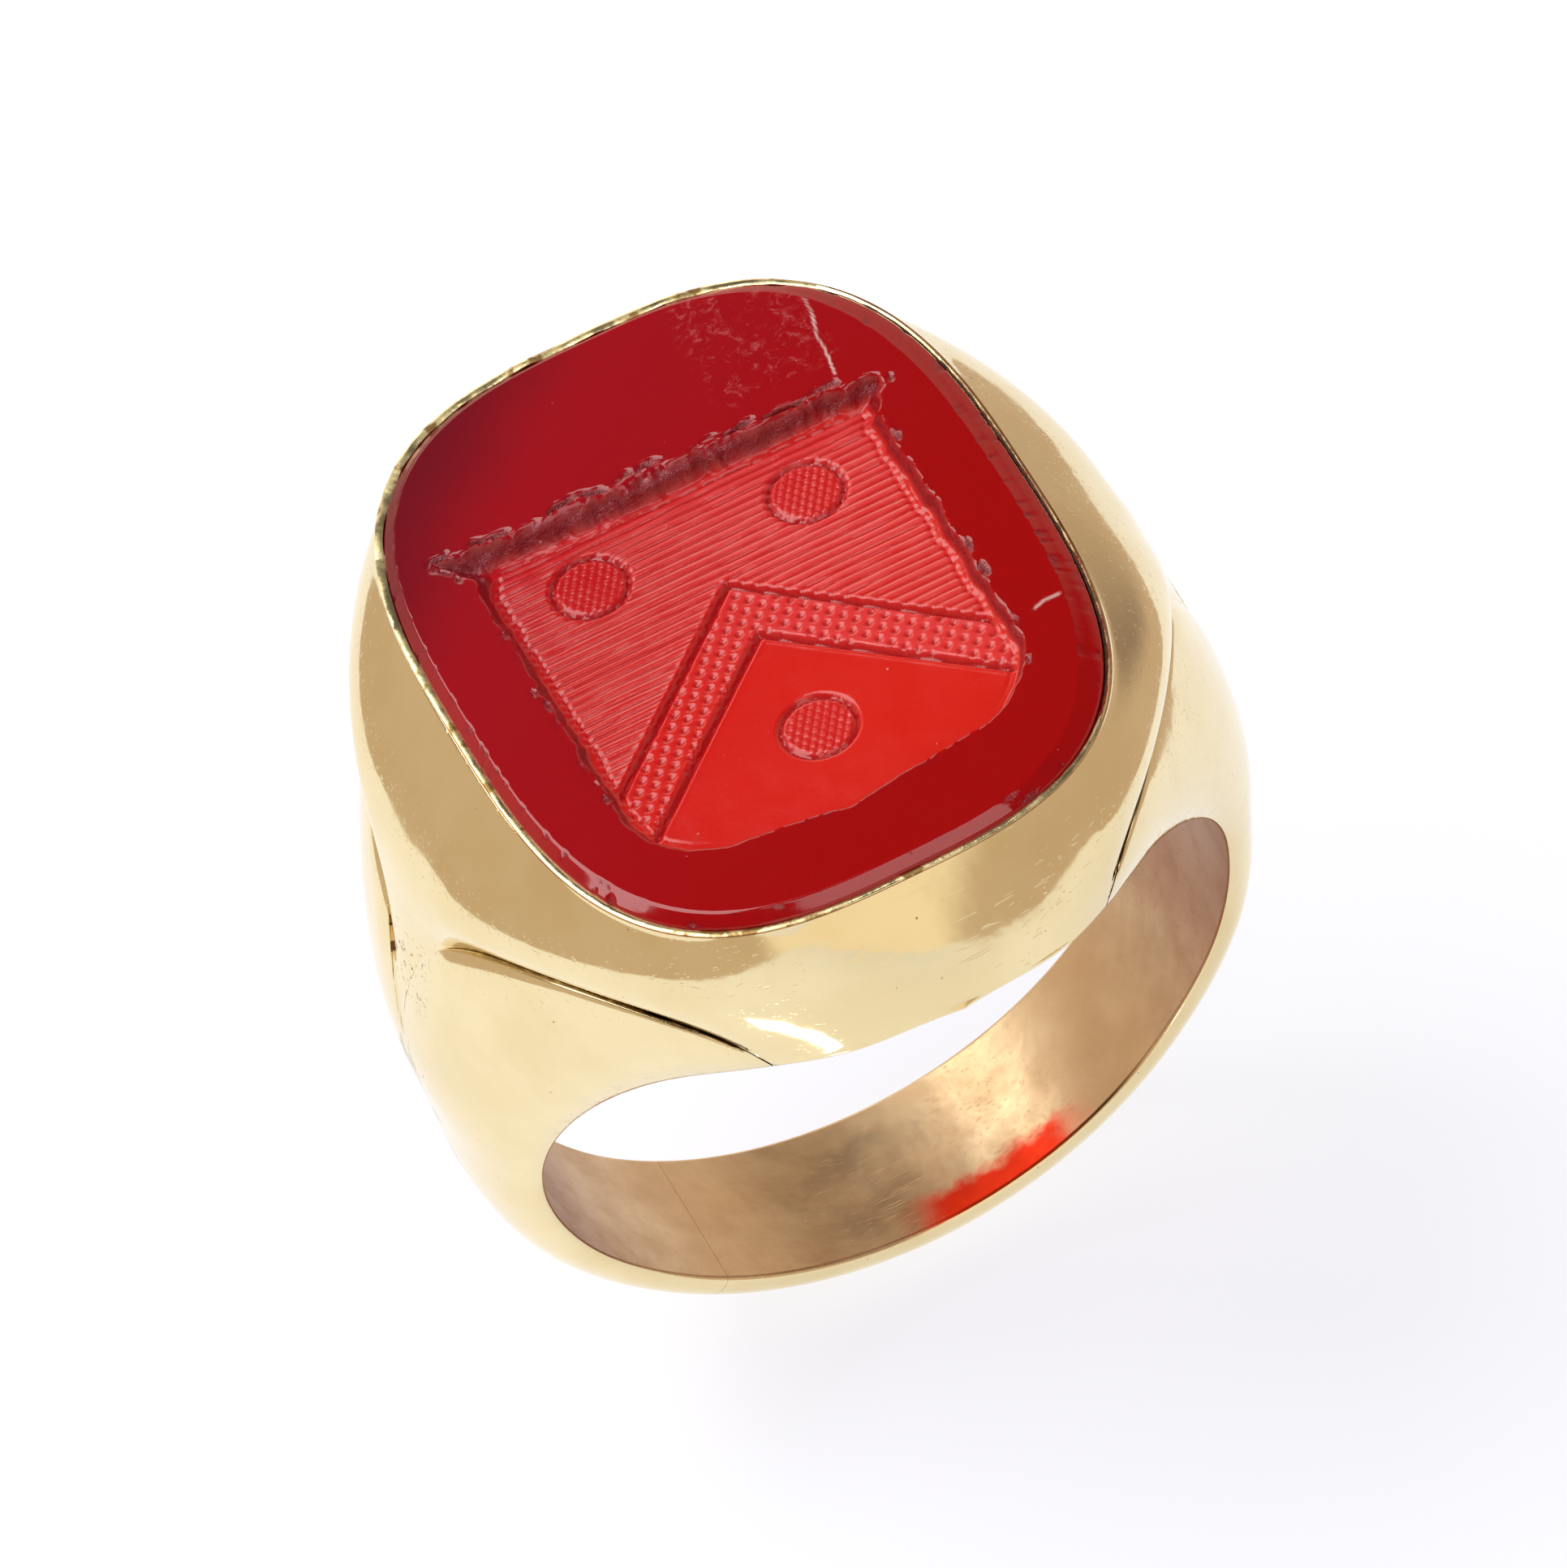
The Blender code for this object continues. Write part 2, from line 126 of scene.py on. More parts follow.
half_width = through(HALF_WIDTH, 4)
arm_thickness = through(ARM_THICKNESS, 4)
groove_angle = through(GROOVE_ANGLE, 0.012)
shoulder_angle = through(SHOULDER_ANGLE, 0.05)
groove_depth = through(GROOVE_DEPTH, 0.03)
wall_pull_radius = through(WALL_PULL_RADIUS, 5)
wall_pull_height = through(WALL_PULL_HEIGHT, 5)
wall_dip_width = through(WALL_DIP_WIDTH, 0.04)
arm_roll_width = through(ARM_ROLL_WIDTH, 0.04)


def smoothstep(low, high, at):
    u = np.clip((at - low) / (high - low), 0, 1)
    return u * u * (3 - 2 * u)


def value_noise(x, y, seed):
    """Soft random waves about one unit long, from -1 to 1."""
    size = 97
    lattice = np.random.default_rng(seed).random((size, size)) * 2 - 1
    i, j = np.floor(x).astype(int), np.floor(y).astype(int)
    u, v = x - i, y - j
    u, v = u * u * (3 - 2 * u), v * v * (3 - 2 * v)
    a = lattice[i % size, j % size]
    b = lattice[(i + 1) % size, j % size]
    c = lattice[i % size, (j + 1) % size]
    d = lattice[(i + 1) % size, (j + 1) % size]
    return (a * (1 - u) + b * u) * (1 - v) + (c * (1 - u) + d * u) * v


def rough_noise(x, y, seed, octaves=3):
    total = 0
    for k in range(octaves):
        total = total + value_noise(x * 2 ** k + 17 * k, y * 2 ** k + 5 * k, seed + k) / 2 ** k
    return total / 1.6


def distance_to_line(points, line):
    """For each point, how far the nearest piece of a line is, and its place along it from 0 to 1."""
    best = np.full(points.shape[:-1], 1e9)
    where = np.zeros(points.shape[:-1])
    for k, (a, b) in enumerate(zip(line, line[1:])):
        along = b - a
        u = np.clip(((points - a) @ along) / max(float(along @ along), 1e-12), 0, 1)
        gap = np.linalg.norm(points - a - u[..., None] * along, axis=-1)
        closer = gap < best
        best = np.where(closer, gap, best)
        where = np.where(closer, (k + u) / (len(line) - 1), where)
    return best, where


# ---------------------------------------------------------------- meshes

def grid_quads(rows, columns, wrap_rows, wrap_columns):
    """Corner numbers of the quads between the points of a rows by columns grid."""
    i = np.arange(rows if wrap_rows else rows - 1)[:, None]
    j = np.arange(columns if wrap_columns else columns - 1)[None, :]
    i2, j2 = (i + 1) % rows, (j + 1) % columns
    corners = [i * columns + j, i * columns + j2, i2 * columns + j2, i2 * columns + j]
    return np.stack([np.broadcast_to(c, (len(i), j.shape[1])) for c in corners], -1)


def make_piece(name, points, faces, materials, slots=None, marks=None, turn_half=False):
    """A smooth-shaded object of the faces. slots gives each face's material, marks named values per point."""
    points = np.asarray(points, float).reshape(-1, 3).copy()
    if turn_half:
        points[:, :2] *= -1
    mesh = bpy.data.meshes.new(name)
    mesh.from_pydata((points * MM).tolist(), [], [list(map(int, f)) for f in faces])
    for finish in materials:
        mesh.materials.append(finish)
    if slots is not None:
        mesh.polygons.foreach_set("material_index", np.asarray(slots, np.int32))
    for mark, values in (marks or {}).items():
        layer = mesh.attributes.new(mark, "FLOAT", "POINT")
        layer.data.foreach_set("value", np.asarray(values, np.float32).ravel())
    mesh.validate()
    mesh.update()
    mesh.shade_smooth()
    mesh.set_sharp_from_angle(angle=math.radians(48))
    made = bpy.data.objects.new(name, mesh)
    bpy.context.scene.collection.objects.link(made)
    return made


def stand_in(piece, slot, *nodes):
    """Sets the piece in place of its CAD nodes."""
    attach(piece, "root")
    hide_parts(*nodes)


# ---------------------------------------------------------------- the band and its two arms

def band_side(angle):
    """The angle folded at the ring's bottom, where the band's two sides meet."""
    return np.maximum(angle, -180 - angle)


def dome(share):
    """Height of the D section's back over its width, from 1 in the middle to 0 at both edges."""
    return np.maximum(0, 1 - np.abs(share) ** SECTION_POWER) ** (1 / SECTION_POWER)


def band_radius(angle, share):
    """The band's outer surface: a D section whose edge is lifted a little for its rounded corner."""
    return HOLE_RADIUS + EDGE_ROUND + (arm_thickness(band_side(angle)) - EDGE_ROUND) * dome(share)


def around_hole(angle, share, radius, inset=0.0):
    """Points at an angle, a share of the band's half width and a radius around the finger hole."""
    turn = np.radians(angle)
    across = share * (half_width(band_side(angle)) - inset)
    return np.stack([radius * np.cos(turn), across + 0 * turn, HOLE_CENTRE + radius * np.sin(turn)], -1)


def groove_line(count=220):
    """The groove's line on the open surface, from the notch on the ring's middle to the hole's edge."""
    share = np.linspace(0, 1, count) ** 1.3
    angle = groove_angle(share)
    return share, around_hole(angle, share, band_radius(angle, share))


GROOVE_SHARES, GROOVE_POINTS = groove_line()


def groove_distance(points):
    """How far each point is from the groove, either side of the ring's middle, and the share there."""
    folded = points.copy()
    folded[..., 1] = np.abs(folded[..., 1])
    folded[..., 0] = np.abs(folded[..., 0])
    gap, where = distance_to_line(folded, GROOVE_POINTS[::4])
    return gap, np.interp(where, np.linspace(0, 1, len(GROOVE_SHARES[::4])), GROOVE_SHARES[::4])


def sink(points, depth):
    """Moves points towards the hole's axis."""
    made = points.copy()
    x, z = points[..., 0], points[..., 2] - HOLE_CENTRE
    radius = np.maximum(np.hypot(x, z), 1e-9)
    scale = np.maximum(radius - depth, HOLE_RADIUS + 0.03) / radius
    scale = np.where(depth > 0, np.minimum(scale, 1), 1)
    made[..., 0] = x * scale
    made[..., 2] = HOLE_CENTRE + z * scale
    return made


def arm_angles(share, seam):
    """Angles of an arm's rows of points: even from its seam, then crowding up to the groove."""
    start = seam + math.degrees(SEAM_GAP / HOLE_RADIUS)
    gap = LOBE_CLEARANCE * smoothstep(0.35, 0.9, np.abs(share))
    per_mm = math.degrees(1 / LOBE_RADIUS)
    end = groove_angle(np.abs(share)) - gap * per_mm
    landing = end - ARM_LANDS[0] * per_mm
    steps = np.linspace(0, 1, ARM_ROWS, endpoint=False)[:, None]
    lands = [[end - land * per_mm] for land in ARM_LANDS]
    return np.concatenate([start + (landing - start) * steps] + lands)


def arm_corners(angle, side):
    """The rounded edge between an arm's outside and the finger hole, at one side of the band."""
    corners = []
    for turn in ROUND_TURNS[:-1]:
        theta = math.radians(turn)
        inset = EDGE_ROUND * (1 - math.cos(theta))
        radius = HOLE_RADIUS + EDGE_ROUND * (1 - math.sin(theta))
        corners.append(around_hole(angle, side, radius, inset)[:, None])
    return corners


def arm_cap(first, width):
    """Faces that close one end of an arm, where first is the number of that row's first point."""
    faces = []
    for k in range(width - 1):
        opposite = 2 * width + 2 - k
        faces.append([first + k, first + k + 1, first + opposite - 1, first + opposite])
    faces.append([first + width - 1 + k for k in range(5)])
    faces.append([first + 2 * width + 2 + k for k in range(4)] + [first])
    return faces


def arm(name, seam, finishes, turn_half):
    """One side of the band as closed section loops, from the sizing seam up to its two lobes."""
    share = np.sin(np.linspace(-1, 1, 2 * ARM_COLUMNS + 1) * math.pi / 2)
    width = len(share)
    angle = arm_angles(share, seam)
    shares = np.broadcast_to(share, angle.shape)
    outside = around_hole(angle, shares, band_radius(angle, shares))
    distance, at_share = groove_distance(outside)
    roll = np.clip(1 - distance / arm_roll_width(at_share), 0, 1) ** 2
    outside = sink(outside, groove_depth(at_share) * roll)
    inside = around_hole(angle, shares, HOLE_RADIUS, EDGE_ROUND)
    left, right = (arm_corners(angle[:, -1], side) for side in (-1, 1))
    loop = np.concatenate([outside, *right, inside[:, ::-1], *left[::-1]], axis=1)
    rows, columns = loop.shape[:2]
    faces = grid_quads(rows, columns, False, True).reshape(-1, 4).tolist()
    in_bore = np.zeros((rows - 1, columns), int)
    in_bore[:, width + 1:2 * width + 4] = 1
    slots = in_bore.ravel().tolist()
    for row in (0, rows - 1):
        cap = arm_cap(row * columns, width)
        faces += cap
        slots += [0] * len(cap)
    groove_darkening = np.zeros((rows, columns))
    groove_darkening[:, :width] = np.clip(1 - distance / 0.2, 0, 1) * smoothstep(0.12, 0.5, at_share)
    groove_darkening[-1] = 1
    # Rows at the finger hole's edges; the bore's finish paints a dark line of shade on part of the front one.
    rim = np.zeros((rows, columns))
    rim[:, [width, width + 1, width + 2, columns - 1, columns - 2, columns - 3]] = 1
    return make_piece(name, loop, faces, finishes, slots, {"groove_darkening": groove_darkening, "rim": rim}, turn_half)


# ---------------------------------------------------------------- the head

def cushion(bearing, growth, height):
    """Points of the stone's outline, grown sideways, at bearings around Z from +X, in radians."""
    c = np.abs(np.cos(bearing)) / (STONE_HALF_WIDTH + growth)
    s = np.abs(np.sin(bearing)) / (STONE_HALF_LENGTH + growth)
    radius = (c ** CUSHION_POWER + s ** CUSHION_POWER) ** (-1 / CUSHION_POWER)
    return np.stack([radius * np.cos(bearing), radius * np.sin(bearing), height + 0 * bearing], -1)


def resample(line, places):
    along = np.concatenate([[0], np.cumsum(np.linalg.norm(np.diff(line, axis=0), axis=1))])
    return np.stack([np.interp(places * along[-1], along, line[:, k]) for k in range(3)], -1)


def head_column(angle, share, on_groove):
    """One column of the head's wall, from its rim down to its foot, and its bearing."""
    end_radius = band_radius(angle, share)
    depth = float(groove_depth(share)) if on_groove else 0.0
    lowered = depth * (1 - WALL_DIP_SHARE)
    foot = around_hole(angle, share, max(end_radius - lowered, HOLE_RADIUS + EDGE_ROUND))
    bearing = math.atan2(foot[1], foot[0])
    shoulder = foot
    tail = np.zeros((0, 3))
    if on_groove and share < NOSE_SHARE:
        high = float(shoulder_angle(share))
        shoulder = around_hole(high, share, band_radius(high, share) - lowered)
        angles = np.linspace(high, angle, 30)[1:]
        tail = around_hole(angles, share, band_radius(angles, share) - lowered)
    lean = math.atan2(shoulder[1], shoulder[0])
    rim = cushion(np.float64(lean), RIM_GROWTH, RIM_Z - RIM_DROP)
    reach = wall_pull_radius(math.degrees(lean))
    level = HOLE_CENTRE + wall_pull_height(math.degrees(lean))
    pull = np.array([reach * math.cos(lean), reach * math.sin(lean), level])
    u = np.linspace(0, 1, 60)[:, None]
    wall = rim * (1 - u) ** 2 + pull * 2 * u * (1 - u) + shoulder * u * u
    places = np.linspace(0, 1, WALL_ROWS + 1)
    places = places + 0.12 * np.sin(places * math.pi) * places
    return resample(np.concatenate([wall, tail]), places / places[-1]), bearing


def soften(wall, rounds):
    """Relaxes a quarter of the wall inside its rim and foot, mirrored at both sides."""
    for _ in range(rounds):
        across = np.concatenate([wall[1:2] * [1, -1, 1], wall, wall[-2:-1] * [-1, 1, 1]])
        average = (across[:-2, 1:-1] + across[2:, 1:-1] + wall[:, :-2] + wall[:, 2:]) / 4
        wall[:, 1:-1] += 0.6 * (average - wall[:, 1:-1])
    return wall


def full_turn(quarter, flips=((-1, 1, 1), (-1, -1, 1), (1, -1, 1))):
    """All four quarters of a ring from the columns of one, from +X to +Y, with each other quarter's flip."""
    second, third, fourth = quarter[::-1] * flips[0], quarter * flips[1], quarter[::-1] * flips[2]
    return np.concatenate([quarter, second[1:], third[1:], fourth[1:-1]])


def head_wall():
    """A quarter of the head's wall, its foot's angles and shares, its bearings and how much it darkens along
    the groove.
    """
    shares = np.sin(np.linspace(0, 1, GROOVE_COLUMNS + 1) * math.pi / 2)
    gap = math.degrees(LOBE_CLEARANCE / LOBE_RADIUS) * smoothstep(0.35, 0.9, shares)
    angles = groove_angle(shares) + gap
    columns = [head_column(a, s, True) for a, s in zip(angles, shares)]
    side = angles[-1] + (90 - angles[-1]) * np.linspace(0, 1, RIM_COLUMNS + 1)[1:]
    columns += [head_column(a, 1.0, False) for a in side]
    wall = np.stack([c[0] for c in columns])
    bearings = np.array([c[1] for c in columns])
    wall[0, :, 1] = 0
    wall[-1, :, 0] = 0
    wall = soften(wall, 40)
    distance, at_share = groove_distance(wall)
    dip = np.clip(1 - distance / wall_dip_width(at_share), 0, 1) ** 1.7
    fade = smoothstep(0, 1, (len(shares) + 5 - np.arange(len(wall))) / 8)[:, None]
    wall = sink(wall, WALL_DIP_SHARE * groove_depth(at_share) * dip * fade)
    groove_darkening = np.clip(1 - distance / 0.22, 0, 1) * smoothstep(0.2, 0.6, at_share) * fade
    angles = np.concatenate([angles, side])
    shares = np.concatenate([shares, np.ones(RIM_COLUMNS)])
    return wall, angles, shares, bearings, groove_darkening


def head_bore(foot_radius, angles, shares, bearings):
    """Rows of the head under its wall: the rounded foot, then the finger hole up to the window."""
    rows = []
    for turn in ROUND_TURNS:
        theta = math.radians(turn)
        radius = HOLE_RADIUS + (foot_radius - HOLE_RADIUS) * (1 - math.sin(theta))
        inset = EDGE_ROUND * (1 - math.cos(theta))
        rows.append(around_hole(angles, shares, radius, inset)[:, None])
    start_across = shares * (half_width(angles) - EDGE_ROUND)
    goal = cushion(bearings, -WINDOW_INSET, 0)
    goal_angle = np.degrees(np.arccos(goal[:, 0] / HOLE_RADIUS))
    for k in range(1, BORE_ROWS + 1):
        turn = np.radians(angles + (goal_angle - angles) * k / BORE_ROWS)
        across = start_across + (goal[:, 1] - start_across) * k / BORE_ROWS
        bore = [HOLE_RADIUS * np.cos(turn), across, HOLE_CENTRE + HOLE_RADIUS * np.sin(turn)]
        rows.append(np.stack(bore, -1)[:, None])
    return rows


def head(finishes):
    """The mount in four equal quarters: wall, foot, finger hole, window, pocket and back up to the rim."""
    wall, angles, shares, bearings, wall_groove_darkening = head_wall()
    foot_radius = np.hypot(wall[:, -1, 0], wall[:, -1, 2] - HOLE_CENTRE)
    rows = [wall] + head_bore(foot_radius, angles, shares, bearings)
    for growth, height in ((-WINDOW_INSET, SHELF_Z - FILM), (POCKET_GROWTH, SHELF_Z - FILM),
                           (POCKET_GROWTH, RIM_Z - RIM_DROP)):
        rows.append(cushion(bearings, growth, height)[:, None])
    quarter = np.concatenate(rows, axis=1)
    quarter[0, :, 1] = 0
    quarter[-1, :, 0] = 0
    ring = full_turn(quarter)
    faces = grid_quads(ring.shape[0], ring.shape[1], True, True)
    slots = np.zeros(faces.shape[:2], int)
    slots[:, WALL_ROWS + 1:] = 1
    groove_darkening = np.zeros(quarter.shape[:2])
    groove_darkening[:, :WALL_ROWS + 1] = wall_groove_darkening
    groove_darkening = full_turn(groove_darkening, (1, 1, 1))
    return make_piece("head_mount", ring, faces.reshape(-1, 4), finishes, slots.ravel(), {"groove_darkening": groove_darkening})


# ---------------------------------------------------------------- the setting

def ring_piece(name, loops, finishes):
    """A closed ring from loops of points, each joined to the next and the last to the first."""
    grid = np.stack(loops)
    faces = grid_quads(grid.shape[0], grid.shape[1], True, True).reshape(-1, 4)
    return make_piece(name, grid, faces, finishes)


def bearings_of(count=RING_COLUMNS * 4):
    """Even bearings around Z from +X, in radians."""
    return np.linspace(0, math.tau, count, endpoint=False)


def bezel_lip(finishes):
    """The thin gold edge rubbed over the stone: fuller and ragged at the rear, finer at the right."""
    turn = bearings_of()
    around = turn * 9
    rear = smoothstep(-0.1, 0.6, np.sin(turn)) * smoothstep(0.75, 0.2, np.cos(turn))
    ragged = rough_noise(around * 1.1, 0 * turn, 11) * (0.012 + 0.03 * rear)
    right = smoothstep(0.35, 0.8, np.cos(turn))
    inner = 0.085 * right + np.maximum(ragged, -0.01)
    outer = 0.175 + 0.05 * rear
    top = RIM_Z - 0.03 + 0.06 * rear + ragged * 0.8 - 0.05 * right
    low = RIM_Z - 0.9
    loops = [cushion(turn, outer, low), cushion(turn, outer, top - 0.08),
             cushion(turn, outer - 0.02, top - 0.025), cushion(turn, (inner + outer) / 2, top),
             cushion(turn, inner, top - 0.03), cushion(turn, inner, low)]
    return ring_piece("bezel_edge", loops, finishes)


def seat(finishes):
    """The flat ring that the stone rests on, with its inner corner cut off."""
    turn = bearings_of(RING_COLUMNS)
    outer, inner = POCKET_GROWTH - FILM, -WINDOW_INSET
    loops = [cushion(turn, inner, SHELF_Z), cushion(turn, outer, SHELF_Z), cushion(turn, outer, SEAT_TOP_Z),
             cushion(turn, inner + 0.08, SEAT_TOP_Z), cushion(turn, inner, SEAT_TOP_Z - 0.08)]
    return ring_piece("seat_ring", loops, finishes)


def cement(finishes):
    """The dark bed under the stone, squeezed up into the line between stone and gold."""
    turn = bearings_of()
    lumps = rough_noise(turn * 14, 0 * turn, 31) * 0.03
    top = RIM_Z - 0.09 + lumps
    low = SEAT_TOP_Z + FILM
    inner, outer = -WINDOW_INSET + lumps * 2, POCKET_GROWTH - FILM
    keel = STONE_BOTTOM_Z - FILM
    loops = [cushion(turn, inner, low), cushion(turn, outer, low), cushion(turn, 0.12, top - 0.03),
             cushion(turn, 0.03, top), cushion(turn, 0.03, RIM_Z - GIRDLE_DEPTH - FILM),
             cushion(turn, 0.04 - KEEL_INSET, keel), cushion(turn, inner, keel)]
    return ring_piece("cement_line", loops, finishes)


# ---------------------------------------------------------------- the engraved stone

SHIELD_TOP_LEFT = (-6.06, 5.13)
SHIELD_TOP_RIGHT = (6.29, 4.7)
SHIELD_SIDE = 5.42
SHIELD_FOOT = -7.43
SHIELD_TURN_RADIUS = 2.6
ROUNDEL_RADIUS = 0.95
ROUNDELS = [(-2.9, 2.75), (2.9, 2.55), (0.0, -4.5)]
CHEVRON = [(-5.6, -4.33), (0.0, 0.9), (5.6, -4.33)]
CHEVRON_STEP = 1.9
HATCH_PITCH = 0.26
DOT_PITCH = 0.44
CROSS_PITCH = 0.2
CRACK = [(5.42, 8.2), (5.36, 7.3), (5.16, 6.5), (5.1, 5.7), (4.98, 5.1)]
NICK = [(6.0, -4.36), (6.3, -4.26), (6.68, -4.28)]
TABLE_COLUMNS = 231
TABLE_ENDS = [0.002, 0.006, 0.013, 0.024, 0.04, 0.062, 0.09, 0.125, 0.17, 0.225, 0.29, 0.37, 0.46, 0.57, 0.7]
TABLE_FINE = (0.85, 5.5)  # rows are fine from this far above the front end up to this place along Y


def shield_outline(steps=10):
    """A broad shield: level top with drawn-out corners, straight sides and a softly pointed foot."""
    right = [(SHIELD_SIDE, SHIELD_TOP_RIGHT[1] - 1.25)]
    centre_y = SHIELD_FOOT + SHIELD_TURN_RADIUS + 0.3
    for k in range(steps + 1):
        turn = math.radians(68 * k / steps)
        right.append((SHIELD_SIDE - SHIELD_TURN_RADIUS * (1 - math.cos(turn)) * 1.15,
                      centre_y - SHIELD_TURN_RADIUS * math.sin(turn)))
    left = [(-x, y) for x, y in right[::-1]]
    left[-1] = (-SHIELD_SIDE, SHIELD_TOP_LEFT[1] - 1.0)
    return [SHIELD_TOP_RIGHT] + right + [(-0.3, SHIELD_FOOT)] + left + [SHIELD_TOP_LEFT]


def signed_distance(x, y, outline):
    """Distance to a closed outline, below 0 inside it."""
    points = np.stack([x, y], -1)
    corners = np.array(outline + outline[:1], float)
    gap, _ = distance_to_line(points, corners)
    inside = np.zeros(x.shape, bool)
    for (ax, ay), (bx, by) in zip(corners, corners[1:]):
        if ay != by:
            crosses = (ay > y) != (by > y)
            inside ^= crosses & (x < (bx - ax) * (y - ay) / (by - ay) + ax)
    return np.where(inside, -gap, gap)


def near_foot(y):
    """1 at the shield's pointed foot, where its edge is cleaner, and 0 above it."""
    return smoothstep(-5.2, -6.6, y)


def recess(x, y):
    """The ragged sunk shield: its height, how much of each place is sunk, is wall and is chip, and how far
    in from the wall's foot it is."""
    outline = signed_distance(x, y, shield_outline())
    top = smoothstep(3.6, 4.6, y)
    foot = near_foot(y)
    waves = rough_noise(x * 1.3, y * 1.3, 3, 2) * 0.05
    wobble = waves + rough_noise(x * 2.0, y * 2.0, 7, 2) * (0.1 + 0.08 * top)
    side = outline + wobble * (1 - 0.45 * foot)
    wall_width = 0.26 + 0.4 * top - 0.06 * foot
    depth = 0.30 + 0.26 * smoothstep(-7.5, 5.0, y)
    sunk = smoothstep(0, 1, -side / wall_width)
    wall = 4 * sunk * (1 - sunk)
    lumps = np.abs(rough_noise(x * 2.2, y * 2.2, 21, 2)) * 1.7 - 0.45
    height = -depth * sunk + wall * lumps * (0.07 + 0.1 * top)
    near = smoothstep(0.24, 0.0, side) * (side > -0.02) * (1 - sunk)
    chips = np.maximum(0, rough_noise(x * 1.9, y * 1.9, 41, 2) - 0.12 + 0.18 * top) * near * (1 - 0.8 * foot)
    height = height - chips * (0.16 + 0.1 * top)
    return height, sunk, wall, chips, -side - wall_width


def textures(x, y, wander):
    """Level hatching, cross-hatching and rows of dots, each from 0 to 1, with 1 at its deepest."""
    hatch = (0.5 + 0.5 * np.cos(math.tau * (y + wander) / HATCH_PITCH)) ** 2.2
    cross = np.maximum(np.cos(math.tau * (x + y * 0.62) / CROSS_PITCH / 1.18),
                       np.cos(math.tau * (x - y * 0.62) / CROSS_PITCH / 1.18)) * 0.5 + 0.5
    row = np.floor(y / DOT_PITCH * 1.5)
    dot_x = (x / DOT_PITCH + 0.5 * (row % 2)) % 1 - 0.5
    dot_y = (y / DOT_PITCH * 1.5) % 1 - 0.5
    return hatch, cross, smoothstep(0.42, 0.12, np.hypot(dot_x * 1.25, dot_y))


def charges(x, y, floor, height):
    """The chevron and discs cut into the recess's floor: new height, painted highlights on ridges and painted
    shade in lines.
    """
    wander = value_noise(x * 0.8, y * 3, 51) * 0.018
    upper = np.array(CHEVRON, float)
    points = np.stack([x, y], -1)
    lines = [distance_to_line(points, edge)[0] for edge in (upper, upper - [0, CHEVRON_STEP])]
    upper_y = np.interp(x, upper[:, 0], upper[:, 1])
    in_chevron = smoothstep(0.1, 0.2, upper_y - y) * smoothstep(0.1, 0.2, y - upper_y + CHEVRON_STEP)
    disc = np.min([np.hypot(x - cx, y - cy) for cx, cy in ROUNDELS], axis=0)
    in_disc = smoothstep(ROUNDEL_RADIUS, ROUNDEL_RADIUS - 0.1, disc)
    hatched = smoothstep(0.12, 0.22, y - upper_y) * (1 - in_disc)
    patchy = 0.75 + 0.35 * value_noise(x * 1.1, y * 4.7, 61)
    hatch, cross, dots = textures(x, y, wander)
    height = height - floor * 0.05 * hatch * patchy * hatched
    height = height - floor * 0.06 * dots * in_chevron
    height = height - floor * 0.035 * cross ** 2 * in_disc
    for line in lines:
        height = height - floor * 0.17 * np.clip(1 - (line + wander * 0.6) / 0.15, 0, 1) ** 1.2
        height = height + floor * 0.02 * smoothstep(0.26, 0.17, line) * smoothstep(0.1, 0.17, line)
    disc_edge = np.abs(disc - ROUNDEL_RADIUS)
    height = height - floor * 0.13 * np.clip(1 - disc_edge / 0.11, 0, 1)
    # Painted highlights on the ridges between the cuts.
    painted_ridge_highlight = (1 - hatch) ** 3 * patchy * hatched + 0.7 * in_disc * (1 - cross) + 0.5 * in_chevron * (1 - dots)
    # Painted shade in the cut lines, disc edges, hatching, dots and cross-hatching.
    dark = sum(np.clip(1 - line / 0.17, 0, 1) for line in lines) + np.clip(1 - disc_edge / 0.12, 0, 1)
    dark = dark + 0.45 * hatch * hatched + 0.5 * dots * in_chevron + 0.4 * cross ** 2 * in_disc
    return height, floor * np.clip(painted_ridge_highlight, 0, 1), floor * np.clip(dark, 0, 1)


def damage(x, y):
    """The hair crack at the rear and the nick at the right, each from 0 to 1."""
    points = np.stack([x, y], -1)
    crack_gap = distance_to_line(points + value_noise(x * 5, y * 5, 81)[..., None] * 0.03, np.array(CRACK))[0]
    crack = smoothstep(0.045, 0.01, crack_gap) * (0.55 + 0.3 * value_noise(x * 3, y * 3, 83))
    nick = smoothstep(0.07, 0.01, distance_to_line(points, np.array(NICK))[0]) * 0.55
    return crack, nick


def engraved(x, y):
    """Height of the stone's face above its table, and the marks that its material reads."""
    height, sunk, wall, chips, inward = recess(x, y)
    floor = smoothstep(0.0, 0.16, inward)
    height, painted_ridge_highlight, line = charges(x, y, floor, height)
    border = np.clip(1 - np.abs(0.17 - inward) / 0.06, 0, 1) * (1 - near_foot(y))
    height = height - 0.05 * border
    height = height + floor * value_noise(x * 2.1, y * 2.1, 71) * 0.008
    crack, nick = damage(x, y)
    height = height - 0.02 * crack
    height = height - 0.02 * nick
    # Of these marks, wall and line carry painted shade and the ridges' mark a painted highlight.
    return height, {"cut": np.clip(sunk, 0, 1), "wall": np.clip(wall + chips * 4, 0, 1),
                    "crack": np.clip(crack + nick, 0, 1), "painted_ridge_highlight": painted_ridge_highlight, "line": line}


def bevel_width(bearing):
    return 0.3 + 0.26 * smoothstep(0.2, 0.85, np.cos(bearing)) + 0.05 * smoothstep(0.3, 0.9, -np.sin(bearing))


